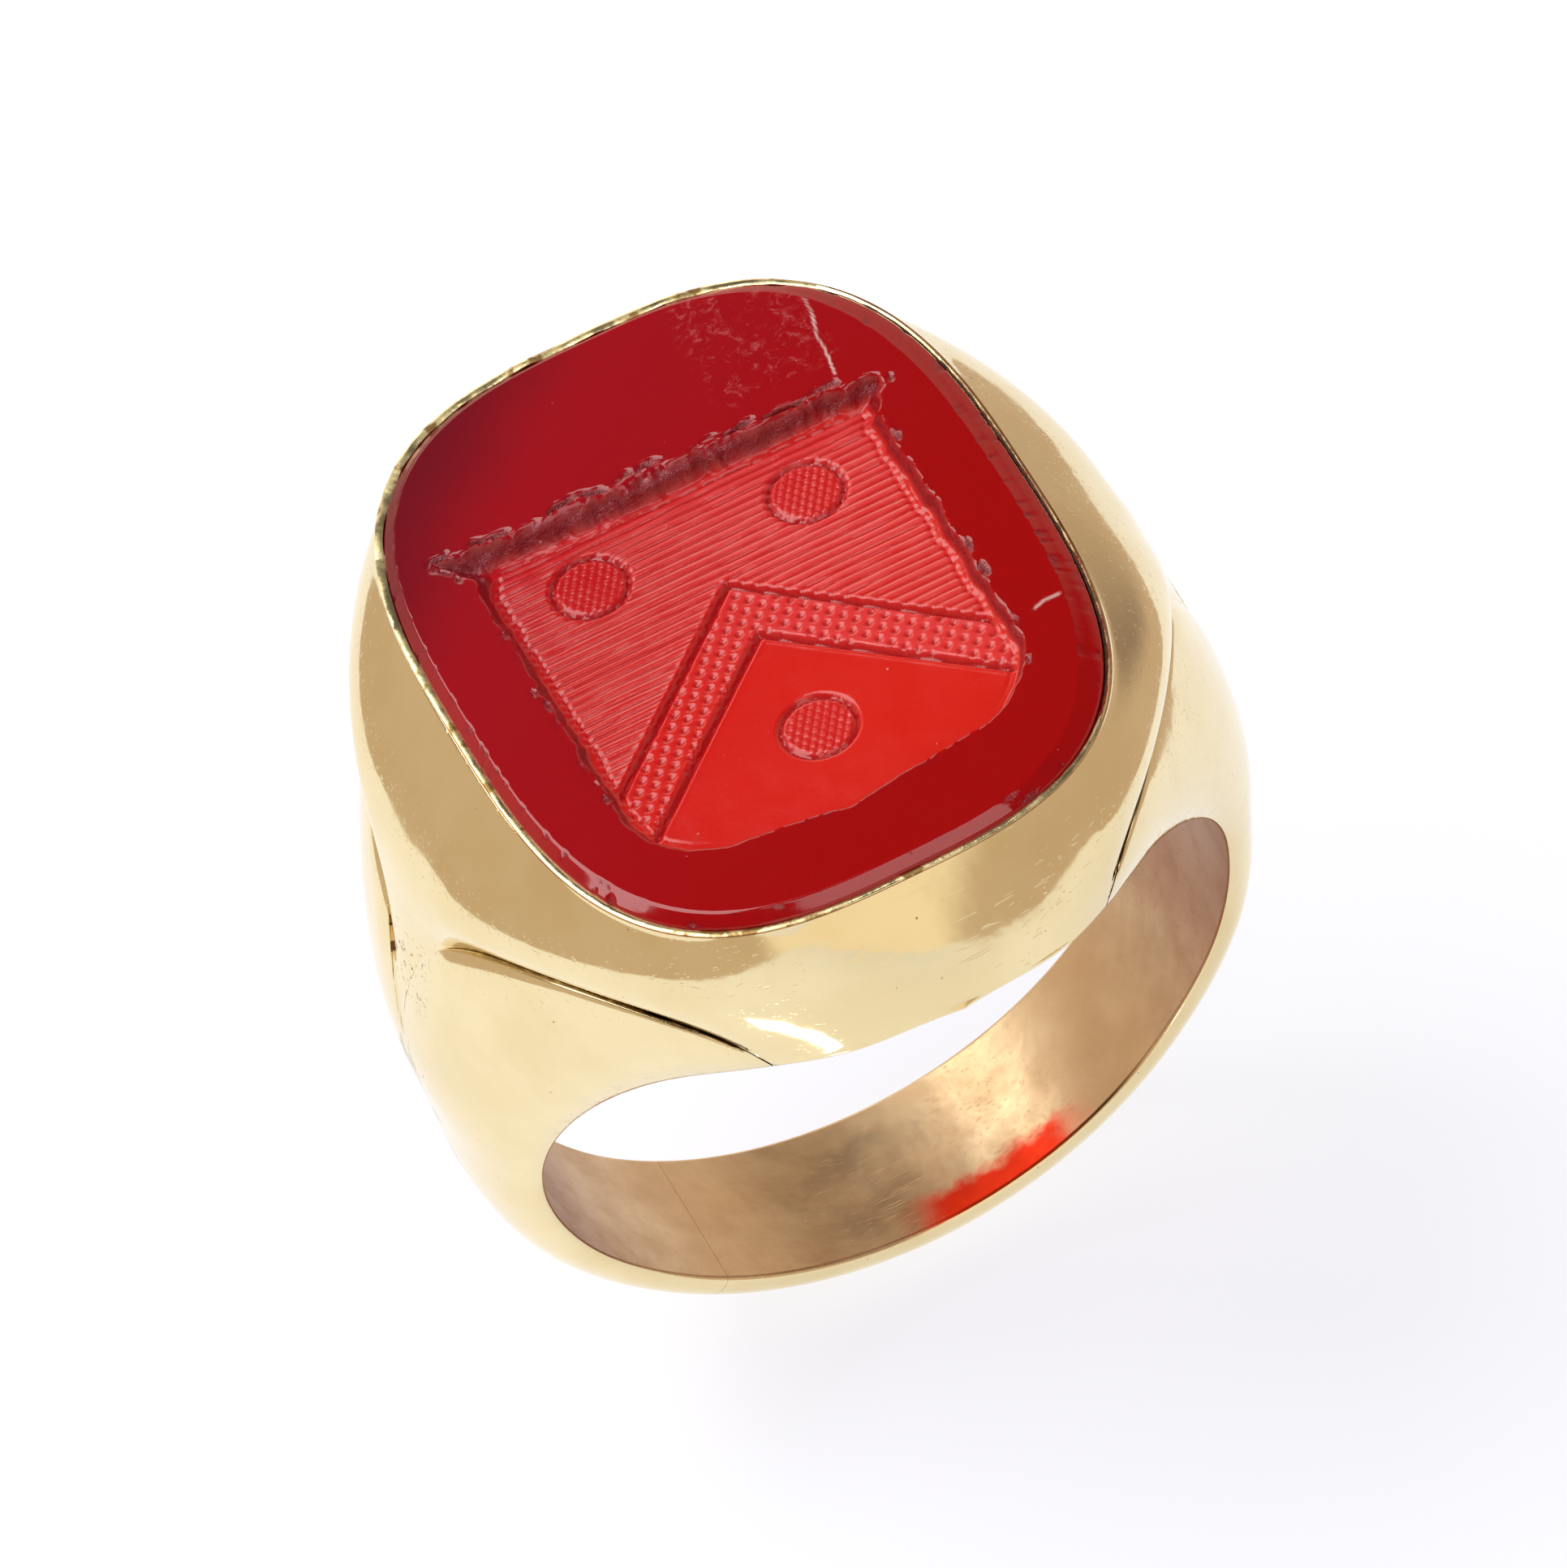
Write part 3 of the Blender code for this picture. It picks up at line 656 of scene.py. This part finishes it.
def table_places():
    """Places of the table's points: level rows, crowded at both ends, that reach from side to side."""
    turn = np.linspace(-math.pi / 2, math.pi / 2, 1500)
    right = cushion(turn, -bevel_width(turn), 0)
    left = cushion(math.pi - turn, -bevel_width(math.pi - turn), 0)
    low, high = right[0, 1], right[-1, 1]
    ends = np.array(TABLE_ENDS)
    margin, fine_end = TABLE_FINE
    middle = np.arange(low + margin, fine_end, 0.052)
    upper = np.arange(fine_end, high - margin, 0.1)
    ys = np.concatenate([[low + 1e-4], low + ends, middle, upper, high - ends[::-1], [high - 1e-4]])
    across = np.linspace(-1, 1, TABLE_COLUMNS)
    x_right = np.interp(ys, right[:, 1], right[:, 0])[:, None]
    x_left = np.interp(ys, left[:, 1], left[:, 0])[:, None]
    x = np.where(across > 0, across * x_right, -across * x_left)
    return x, np.broadcast_to(ys[:, None], x.shape)


def stone_sides(bearing):
    """Loops of the bevel, girdle and keel from the table down, and how chipped their upper edges are."""
    width = bevel_width(bearing)
    around = bearing * 9
    nibble = np.maximum(0, rough_noise(around * 2.2, 0 * around, 91) - 0.25) * 0.07
    sparkle = np.maximum(0, rough_noise(around * 4, 0 * around, 95) - 0.1) * 0.03
    profile = [(-width + 0.03, TABLE_Z - 0.012 - sparkle), (-width + 0.075, TABLE_Z - 0.035 - sparkle),
               (-width * 0.5, TABLE_Z - 0.12), (-0.05 - nibble, RIM_Z + 0.035 - nibble * 0.6),
               (-0.012 - nibble, RIM_Z - nibble), (0, RIM_Z - 0.06), (0, RIM_Z - GIRDLE_DEPTH),
               (-KEEL_INSET, STONE_BOTTOM_Z)]
    chipped = np.zeros((len(profile), len(bearing)))
    # The chipped edges join the stone's wall mark, which its colour darkens as painted shade.
    chipped[0:2] = np.clip(sparkle * 40, 0, 1)
    chipped[3:5] = np.clip(nibble * 25, 0, 1)
    return [cushion(bearing, growth, level) for growth, level in profile], chipped


def stone(finishes):
    """One closed mesh: the engraved table on level rows, then the bevel, girdle and keel around it."""
    x, y = table_places()
    height, marks = engraved(x, y)
    table = np.stack([x, y, TABLE_Z - 0.004 + height], -1).reshape(-1, 3)
    rows, columns = x.shape
    faces = grid_quads(rows, columns, False, False).reshape(-1, 4)
    index = np.arange(rows * columns).reshape(rows, columns)
    border = np.concatenate([index[0], index[1:-1, -1], index[-1, ::-1], index[-2:0:-1, 0]])
    edge = table[border]
    loops, chipped = stone_sides(np.arctan2(edge[:, 1], edge[:, 0]))
    count = len(border)
    rings = [border] + [rows * columns + k * count + np.arange(count) for k in range(len(loops))]
    skirt = [np.stack([a, b, np.roll(b, -1), np.roll(a, -1)], -1) for a, b in zip(rings, rings[1:])]
    all_faces = faces.tolist() + np.concatenate(skirt).tolist() + [rings[-1][::-1].tolist()]
    plain = np.zeros(chipped.size)
    for name, values in marks.items():
        marks[name] = np.concatenate([values.ravel(), chipped.ravel() if name == "wall" else plain])
    return make_piece("seal_stone", np.concatenate([table] + loops), all_faces, finishes, None, marks)


# ---------------------------------------------------------------- material nodes

def node(tree, kind, inputs=None, **settings):
    made = tree.nodes.new(kind)
    for key, value in settings.items():
        setattr(made, key, value)
    for key, value in (inputs or {}).items():
        if isinstance(value, bpy.types.NodeSocket):
            tree.links.new(value, made.inputs[key])
        else:
            made.inputs[key].default_value = value
    return made


def new_material(name):
    made = bpy.data.materials.new(name)
    made.use_nodes = True
    return made, made.node_tree, made.node_tree.nodes["Principled BSDF"]


def in_mm(tree, scale=(1, 1, 1), turn=(0, 0, 0)):
    """Object coordinates in millimetres, turned and stretched."""
    place = node(tree, "ShaderNodeTexCoord").outputs["Object"]
    sized = [1000 * k for k in scale]
    inputs = {"Vector": place, "Rotation": turn, "Scale": sized}
    return node(tree, "ShaderNodeMapping", inputs).outputs["Vector"]


def noise(tree, vector, scale, detail=3.0, roughness=0.55, distortion=0.0):
    inputs = {"Vector": vector, "Scale": scale, "Detail": detail, "Roughness": roughness,
              "Distortion": distortion}
    return node(tree, "ShaderNodeTexNoise", inputs).outputs["Fac"]


def remap(tree, value, low, high, out_low=0.0, out_high=1.0):
    inputs = {"Value": value, "From Min": low, "From Max": high, "To Min": out_low, "To Max": out_high}
    return node(tree, "ShaderNodeMapRange", inputs, interpolation_type="SMOOTHSTEP").outputs["Result"]


def calc(tree, operation, a, b=0.0):
    return node(tree, "ShaderNodeMath", {0: a, 1: b}, operation=operation).outputs[0]


def product(tree, first, *others):
    """All the values multiplied together."""
    for other in others:
        first = calc(tree, "MULTIPLY", first, other)
    return first


def between(tree, value, low, high, soft):
    """1 between two values and 0 outside them, with soft edges."""
    return product(tree, remap(tree, value, low - soft, low + soft),
                   remap(tree, value, high + soft, high - soft))


def split_axes(tree, vector):
    return node(tree, "ShaderNodeSeparateXYZ", {"Vector": vector}).outputs


def blend_colour(tree, factor, a, b):
    def as_colour(c):
        return c if isinstance(c, bpy.types.NodeSocket) else (*c, 1)
    inputs = {"Factor": factor, 6: as_colour(a), 7: as_colour(b)}
    return node(tree, "ShaderNodeMix", inputs, data_type="RGBA").outputs[2]


def tint(tree, colour, amount, most, goal):
    """The colour, turned towards goal by the amount times most."""
    return blend_colour(tree, calc(tree, "MULTIPLY", amount, most), colour, goal)


def mark(tree, name):
    return node(tree, "ShaderNodeAttribute", attribute_name=name).outputs["Fac"]


def scratches(tree, turn, fine, low, high):
    """Thin straight scratches: noise drawn out along one direction and cut off high."""
    return remap(tree, noise(tree, in_mm(tree, (0.35, fine, fine), turn), 1.0, 1.0), low, high)


def bump(tree, height, distance, strength=1.0, normal=None):
    inputs = {"Height": height, "Distance": distance * MM, "Strength": strength}
    if normal is not None:
        inputs["Normal"] = normal
    return node(tree, "ShaderNodeBump", inputs).outputs["Normal"]


def join(tree, shader, colour, rough, normal, metallic):
    shader.inputs["Metallic"].default_value = metallic
    tree.links.new(colour, shader.inputs["Base Color"])
    tree.links.new(rough, shader.inputs["Roughness"])
    tree.links.new(normal, shader.inputs["Normal"])


# ---------------------------------------------------------------- materials

GOLD_PALE = (0.87, 0.73, 0.43)
GOLD_DEEP = (0.82, 0.67, 0.37)
GROOVE_DARK = (0.16, 0.085, 0.03)
PIT = (0.35, 0.22, 0.1)
BORE_PALE = (0.95, 0.72, 0.43)
BORE_DEEP = (0.84, 0.59, 0.33)
BORE_PAINTED_SHADE = (0.38, 0.19, 0.095)
BORE_EDGE_PAINTED_SHADE = (0.10, 0.05, 0.02)
PAINTED_RED_LIGHT_COLOUR = (0.86, 0.05, 0.018)
PAINTED_RED_GLOW = (0.09, 0.002, 0.0)
PAINTED_RED_GLOW_CORE = (0.20, 0.008, 0.0)
LIP_BRIGHT = (0.90, 0.75, 0.40)
LIP_DULL = (0.32, 0.2, 0.07)
SHELLAC_DARK = (0.02, 0.008, 0.006)
SHELLAC_BROWN = (0.10, 0.035, 0.015)
RED_REAR = (0.34, 0.004, 0.011)
RED_FRONT = (0.37, 0.0, 0.0)
RED_SHADE = (0.17, 0.004, 0.012)
CUT_REAR = (0.50, 0.002, 0.008)
CUT_FRONT = (0.70, 0.012, 0.004)
CUT_PAINTED_HIGHLIGHT = (0.84, 0.095, 0.105)
CUT_PAINTED_SHADE = (0.30, 0.002, 0.012)
CUT_WALL_PAINTED_SHADE = (0.19, 0.001, 0.012)
SCUFF = (0.50, 0.08, 0.09)
SPECK = (0.85, 0.45, 0.42)
CRACK_PALE = (0.95, 0.75, 0.72)


def pitting(tree, place):
    """Small pits: a few anywhere, and a cluster on the left shoulder."""
    axes = split_axes(tree, place)
    few = remap(tree, noise(tree, place, 5.5, 1), 0.79, 0.83)
    cluster = product(tree, between(tree, axes["Z"], 17.0, 18.8, 0.6), remap(tree, axes["X"], -9.6, -10.3),
                      between(tree, axes["Y"], -1.5, 0.3, 0.4),
                      remap(tree, noise(tree, place, 6, 2), 0.60, 0.66))
    return calc(tree, "MAXIMUM", few, cluster)


def polished_gold():
    """The outside: high polish with hair scratches, pits, and darker, rougher gold along the grooves."""
    made, tree, shader = new_material("worn_polished_gold")
    place = in_mm(tree)
    hair = calc(tree, "MAXIMUM", scratches(tree, (0.4, 0.9, 0.2), 9, 0.66, 0.74),
                scratches(tree, (1.3, 0.2, 1.1), 7, 0.67, 0.74))
    pits = pitting(tree, place)
    groove_darkening = product(tree, mark(tree, "groove_darkening"), remap(tree, noise(tree, place, 3.5, 3), 0.25, 0.6, 0.55, 1))
    colour = blend_colour(tree, remap(tree, noise(tree, place, 0.35, 3), 0.3, 0.7), GOLD_DEEP, GOLD_PALE)
    colour = blend_colour(tree, pits, colour, PIT)
    colour = blend_colour(tree, remap(tree, groove_darkening, 0.15, 0.95), colour, GROOVE_DARK)
    rough = remap(tree, noise(tree, place, 0.8, 4), 0.35, 0.75, 0.06, 0.13)
    rough = calc(tree, "ADD", rough, calc(tree, "MULTIPLY", hair, 0.1))
    rough = calc(tree, "ADD", rough, calc(tree, "MULTIPLY", groove_darkening, 0.25))
    waves = bump(tree, noise(tree, place, 0.9, 2), 0.02, 0.5)
    cuts = calc(tree, "SUBTRACT", 1.0, calc(tree, "ADD", hair, pits))
    join(tree, shader, colour, rough, bump(tree, cuts, 0.004, 0.5, waves), 1.0)
    return made


def painted_red_light(tree, place, axes):
    """Where painted red light from the stone lies on the finger hole's bottom, and its brighter core, each
    from 0 to 1.
    """
    waver = calc(tree, "MULTIPLY", calc(tree, "SUBTRACT", noise(tree, place, 1.6, 4), 0.5), 0.9)
    across = calc(tree, "ADD", axes["Y"], waver)
    glow = product(tree, between(tree, calc(tree, "ADD", axes["X"], waver), -0.2, 4.2, 0.8),
                   remap(tree, across, -1.05, -1.6), remap(tree, axes["Z"], 4.5, 3.5))
    return glow, remap(tree, across, -1.5, -2.1)


def bore_gold():
    """The finger hole: satin from wear, scratched round and across, with painted shade, a painted dark edge
    line and painted red light.
    """
    made, tree, shader = new_material("satin_bore_gold")
    place = in_mm(tree)
    axes = split_axes(tree, place)
    colour = blend_colour(tree, remap(tree, noise(tree, place, 0.45, 4), 0.3, 0.7), BORE_DEEP, BORE_PALE)
    # Painted shade: darker brown towards the top of the finger hole.
    colour = blend_colour(tree, remap(tree, axes["Z"], 2.6, 8.0), colour, BORE_PAINTED_SHADE)
    glow, core = painted_red_light(tree, place, axes)
    # Painted red light: the patch is coloured red and glows by its own emission.
    colour = blend_colour(tree, glow, colour, PAINTED_RED_LIGHT_COLOUR)
    light = blend_colour(tree, glow, (0, 0, 0), blend_colour(tree, core, PAINTED_RED_GLOW, PAINTED_RED_GLOW_CORE))
    tree.links.new(light, shader.inputs["Emission Color"])
    shader.inputs["Emission Strength"].default_value = 1.0
    # Painted shade: a dark line along part of the finger hole's front edge.
    rim = product(tree, mark(tree, "rim"), remap(tree, axes["Y"], -1.5, -2.0),
                  between(tree, axes["X"], 0.6, 5.8, 0.7))
    colour = tint(tree, colour, rim, 0.9, BORE_EDGE_PAINTED_SHADE)
    hair = calc(tree, "MAXIMUM", scratches(tree, (0, 0.6, 0), 15, 0.64, 0.74),
                scratches(tree, (0.5, 0.3, 1.3), 19, 0.65, 0.75))
    rough = remap(tree, noise(tree, place, 0.7, 3), 0.3, 0.7, 0.34, 0.48)
    rough = calc(tree, "ADD", rough, calc(tree, "MULTIPLY", hair, 0.12))
    waves = bump(tree, noise(tree, place, 0.7, 3), 0.05, 0.6)
    join(tree, shader, colour, rough, bump(tree, calc(tree, "SUBTRACT", 1.0, hair), 0.003, 0.5, waves), 1.0)
    return made


def lip_gold():
    """The rubbed edge: bright where it is burnished and dull between."""
    made, tree, shader = new_material("burnished_lip_gold")
    place = in_mm(tree)
    broken = noise(tree, place, 1.3, 4)
    colour = blend_colour(tree, remap(tree, broken, 0.36, 0.44), LIP_DULL, LIP_BRIGHT)
    rough = remap(tree, broken, 0.3, 0.7, 0.4, 0.15)
    join(tree, shader, colour, rough, bump(tree, noise(tree, place, 3, 3), 0.02, 0.6), 1.0)
    return made


def shellac():
    made, tree, shader = new_material("dark_shellac")
    place = in_mm(tree)
    streaks = remap(tree, noise(tree, place, 4, 3), 0.35, 0.65)
    colour = blend_colour(tree, streaks, SHELLAC_DARK, SHELLAC_BROWN)
    rough = remap(tree, noise(tree, place, 6, 2), 0.3, 0.7, 0.3, 0.55)
    join(tree, shader, colour, rough, bump(tree, noise(tree, place, 9, 2), 0.02, 0.6), 0.0)
    return made


def scuffing(tree, place, axes, cut):
    """A veined scuff on the table at the rear, beside the crack, from 0 to 1."""
    patch = product(tree, remap(tree, axes["Y"], 5.3, 5.9), remap(tree, axes["X"], 1.9, 2.5),
                    remap(tree, axes["X"], 5.5, 5.2))
    veins = remap(tree, noise(tree, place, 3.2, 6, 0.7, 0.6), 0.5, 0.68)
    return product(tree, patch, veins, calc(tree, "SUBTRACT", 1.0, cut))


def stone_colour(tree, place, axes, cut, wall, scuff):
    """Painted shade at the rear left and painted light, clearer red, to the front right, with cloudy tone;
    lighter where cut.
    """
    cloud = calc(tree, "MULTIPLY", calc(tree, "SUBTRACT", noise(tree, place, 0.22, 3), 0.5), 5.0)
    slope = calc(tree, "SUBTRACT", axes["X"], axes["Y"])
    # Painted light through the stone, rising towards the front right, mixed with random cloudy tone; the cut
    # ground follows it.
    painted_glow_and_cloud = remap(tree, calc(tree, "ADD", slope, cloud), -14, 9)
    shade = remap(tree, calc(tree, "ADD", slope, calc(tree, "MULTIPLY", cloud, 0.5)), -8.5, -13.5)
    whole = blend_colour(tree, shade, blend_colour(tree, painted_glow_and_cloud, RED_REAR, RED_FRONT), RED_SHADE)
    # Painted highlight on the ridges, stronger towards the right.
    pale = product(tree, mark(tree, "painted_ridge_highlight"), remap(tree, axes["X"], -4, 2.5, 0.06, 0.7))
    ground = blend_colour(tree, pale, blend_colour(tree, painted_glow_and_cloud, CUT_REAR, CUT_FRONT), CUT_PAINTED_HIGHLIGHT)
    colour = blend_colour(tree, cut, whole, ground)
    # Painted shade in the engraved cuts.
    colour = tint(tree, colour, mark(tree, "line"), 0.6, CUT_PAINTED_SHADE)
    # Painted shade on the recess's chipped walls and chips.
    colour = tint(tree, colour, wall, 0.8, CUT_WALL_PAINTED_SHADE)
    colour = tint(tree, colour, scuff, 0.5, SCUFF)
    colour = tint(tree, colour, remap(tree, noise(tree, place, 7, 1), 0.80, 0.84), 0.6, SPECK)
    return blend_colour(tree, mark(tree, "crack"), colour, CRACK_PALE)


def carnelian():
    """Polished red stone with a little depth, duller in its cuts and glassy on the recess's chipped walls."""
    made, tree, shader = new_material("carnelian")
    place = in_mm(tree)
    axes = split_axes(tree, place)
    cut, wall = mark(tree, "cut"), mark(tree, "wall")
    scuff = scuffing(tree, place, axes, cut)
    colour = stone_colour(tree, place, axes, cut, wall, scuff)
    rough = remap(tree, noise(tree, place, 0.6, 3), 0.3, 0.7, 0.05, 0.1)
    rough = calc(tree, "ADD", rough, calc(tree, "MULTIPLY", cut, 0.13))
    rough = calc(tree, "SUBTRACT", rough, calc(tree, "MULTIPLY", wall, 0.24))
    rough = calc(tree, "ADD", rough, calc(tree, "MULTIPLY", scuff, 0.3))
    shader.inputs["IOR"].default_value = 1.54
    shader.inputs["Subsurface Weight"].default_value = 0.35
    shader.inputs["Subsurface Radius"].default_value = (1.0, 0.08, 0.05)
    shader.inputs["Subsurface Scale"].default_value = 0.7 * MM
    fine = bump(tree, noise(tree, place, 7, 3), 0.012, 0.5)
    chips = bump(tree, noise(tree, place, 4.5, 4, 0.7), 0.12, wall, fine)
    share = calc(tree, "MAXIMUM", wall, calc(tree, "MULTIPLY", cut, 0.9))
    plain = node(tree, "ShaderNodeNewGeometry").outputs["Normal"]
    normal = node(tree, "ShaderNodeMix", {"Factor": calc(tree, "MAXIMUM", share, 0.12), 4: plain, 5: chips},
                  data_type="VECTOR").outputs[1]
    join(tree, shader, colour, calc(tree, "MAXIMUM", rough, 0.05), normal, 0.0)
    return made


# ---------------------------------------------------------------- studio

FLOOR_LIGHT = (0.74, 0.755, 0.81)
FLOOR_TONES = ((0.34, 0.34, 0.34), (0.36, 0.36, 0.36))
SURROUND = (0.66, 0.53, 0.415)
SURROUND_RIGHT = (0.64, 0.50, 0.40)
SURROUND_DARK = (0.34, 0.26, 0.22)
FRONT_WHITE = (1.03, 0.92, 0.77)
SKY_TOP = (0.11, 0.10, 0.10)
# Narrow to the front, broad around the ring and behind it, because of what the gold mirrors.
FLOOR_OUTLINE = [(22, -150), (26, -64), (27, -36), (29, -10), (40, 8), (60, 32), (48, 64), (0, 76), (-52, 62),
                 (-76, 22), (-68, -18), (-47, -42), (-36, -62), (-34, -150)]


def closed_curve(points, steps=12):
    """A smooth loop through the points."""
    points = np.array(points, float)
    before, after, beyond = np.roll(points, 1, 0), np.roll(points, -1, 0), np.roll(points, -2, 0)
    made = []
    for k in range(len(points)):
        for u in np.linspace(0, 1, steps, endpoint=False):
            a, b, c, d = before[k], points[k], after[k], beyond[k]
            made.append(b + (c - a) * u / 2 + (a - 2.5 * b + 2 * c - d / 2) * u ** 2
                        + (1.5 * (b - c) + (d - a) / 2) * u ** 3)
    return np.array(made)


def floor_sheet():
    """One plain pale sheet that glows evenly as well as being lit, with the warm surround beyond its edge."""
    made, tree, shader = new_material("pale_floor")
    tone = blend_colour(tree, noise(tree, in_mm(tree), 0.05, 2), *FLOOR_TONES)
    tree.links.new(tone, shader.inputs["Base Color"])
    shader.inputs["Emission Color"].default_value = (*FLOOR_LIGHT, 1)
    shader.inputs["Emission Strength"].default_value = 1.0
    shader.inputs["Roughness"].default_value = 0.6
    shader.inputs["Specular IOR Level"].default_value = 0.0
    edge = closed_curve(FLOOR_OUTLINE)
    mesh = bpy.data.meshes.new("floor")
    mesh.from_pydata([(x * MM, y * MM, 0) for x, y in edge], [], [list(range(len(edge)))])
    mesh.materials.append(made)
    floor = bpy.data.objects.new("floor", mesh)
    bpy.context.scene.collection.objects.link(floor)


def surround():
    """The world: warm around the horizon, white in front, darker at the right and overhead."""
    world = bpy.data.worlds.new("studio")
    world.use_nodes = True
    bpy.context.scene.world = world
    tree = world.node_tree
    direction = node(tree, "ShaderNodeTexCoord").outputs["Generated"]
    axes = split_axes(tree, direction)
    azimuth = calc(tree, "ARCTAN2", axes["X"], calc(tree, "MULTIPLY", axes["Y"], -1.0))
    height = axes["Z"]
    colour = blend_colour(tree, between(tree, azimuth, 0.4, 2.7, 0.3), SURROUND, SURROUND_RIGHT)
    dark = product(tree, between(tree, azimuth, 1.65, 2.15, 0.25), between(tree, height, -0.24, 0.1, 0.1))
    colour = blend_colour(tree, dark, colour, SURROUND_DARK)
    colour = blend_colour(tree, remap(tree, height, 0.38, 0.66), colour, SKY_TOP)
    front = product(tree, between(tree, azimuth, -0.40, 0.22, 0.09), remap(tree, height, 0.8, 0.6))
    tree.links.new(blend_colour(tree, front, colour, FRONT_WHITE), tree.nodes["Background"].inputs["Color"])


def area_light(name, azimuth, elevation, distance, size, power, colour, goal):
    """A rectangular lamp seen from goal at a direction, azimuth 0 in front and 90 to the right."""
    a, e = math.radians(azimuth), math.radians(elevation)
    out = Vector((math.sin(a) * math.cos(e), -math.cos(a) * math.cos(e), math.sin(e)))
    lamp = bpy.data.lights.new(name, "AREA")
    lamp.shape = "RECTANGLE"
    lamp.size, lamp.size_y = (k * MM for k in size)
    lamp.energy = power
    lamp.color = colour
    made = bpy.data.objects.new(name, lamp)
    made.location = goal + out * distance * MM
    made.rotation_mode = "QUATERNION"
    made.rotation_quaternion = (-out).to_track_quat("-Z", "Y")
    made.visible_camera = False
    bpy.context.scene.collection.objects.link(made)


def studio():
    floor_sheet()
    surround()
    middle = Vector((0, 0, 15 * MM))
    area_light("front_softbox", 20, 66, 150, (70, 70), 0.03, (1.0, 0.98, 0.95), middle)
    area_light("rear_left_softbox", -128, 62, 140, (115, 115), 0.16, (1.0, 0.99, 0.97), middle)
    area_light("rear_low_softbox", 176, 26, 130, (60, 40), 0.012, (1.0, 0.93, 0.84), middle)
    cheek = Vector((-3.5, -10.4, 20.8)) * MM
    area_light("low_sparkle", -43, -50, 26, (3.4, 2.6), 0.00018, (1.0, 1.0, 1.0), cheek)


CAMERA_AZIMUTH = -12.81
CAMERA_ELEVATION = 49.87
CAMERA_ROLL = -15.71
CAMERA_DISTANCE = 404.0
LEFTWARD = 1.276  # from the finger hole's centre to the view's centre, along the camera's own axes
UPWARD = 3.819
SENSOR = 36.0
LENS = 372.1


def camera():
    a, e, r = (math.radians(k) for k in (CAMERA_AZIMUTH, CAMERA_ELEVATION, CAMERA_ROLL))
    back = Vector((math.sin(a) * math.cos(e), -math.cos(a) * math.cos(e), math.sin(e)))
    level = Vector((math.cos(a), math.sin(a), 0))
    rise = back.cross(level)
    right = level * math.cos(r) + rise * math.sin(r)
    up = rise * math.cos(r) - level * math.sin(r)
    place = back * CAMERA_DISTANCE - right * LEFTWARD + up * UPWARD + Vector((0, 0, HOLE_CENTRE))
    lens = bpy.data.cameras.new("camera")
    lens.sensor_width = SENSOR
    lens.lens = LENS
    lens.clip_start = 1 * MM
    made = bpy.data.objects.new("camera", lens)
    made.matrix_world = Matrix.Translation(place * MM) @ Matrix((right, up, back)).transposed().to_4x4()
    bpy.context.scene.collection.objects.link(made)
    bpy.context.scene.camera = made


def main():
    camera()
    gold, bore, lip, dark, red = polished_gold(), bore_gold(), lip_gold(), shellac(), carnelian()
    stand_in(arm("right_arm", SEAM_ANGLE, [gold, bore], False), "polished_gold", "right_shank")
    stand_in(arm("left_arm", -180 - SEAM_ANGLE, [gold, bore], True), "polished_gold", "left_shank")
    stand_in(head([gold, bore]), "polished_gold", "head")
    stand_in(seat([bore]), "polished_gold", "bearing_ledge")
    stand_in(bezel_lip([lip]), "burnished_gold", "bezel_lip")
    stand_in(cement([dark]), "shellac", "cement_bed")
    stand_in(stone([red]), "carnelian", "intaglio_stone")
    studio()
    bpy.context.scene.view_settings.view_transform = "Standard"


main()
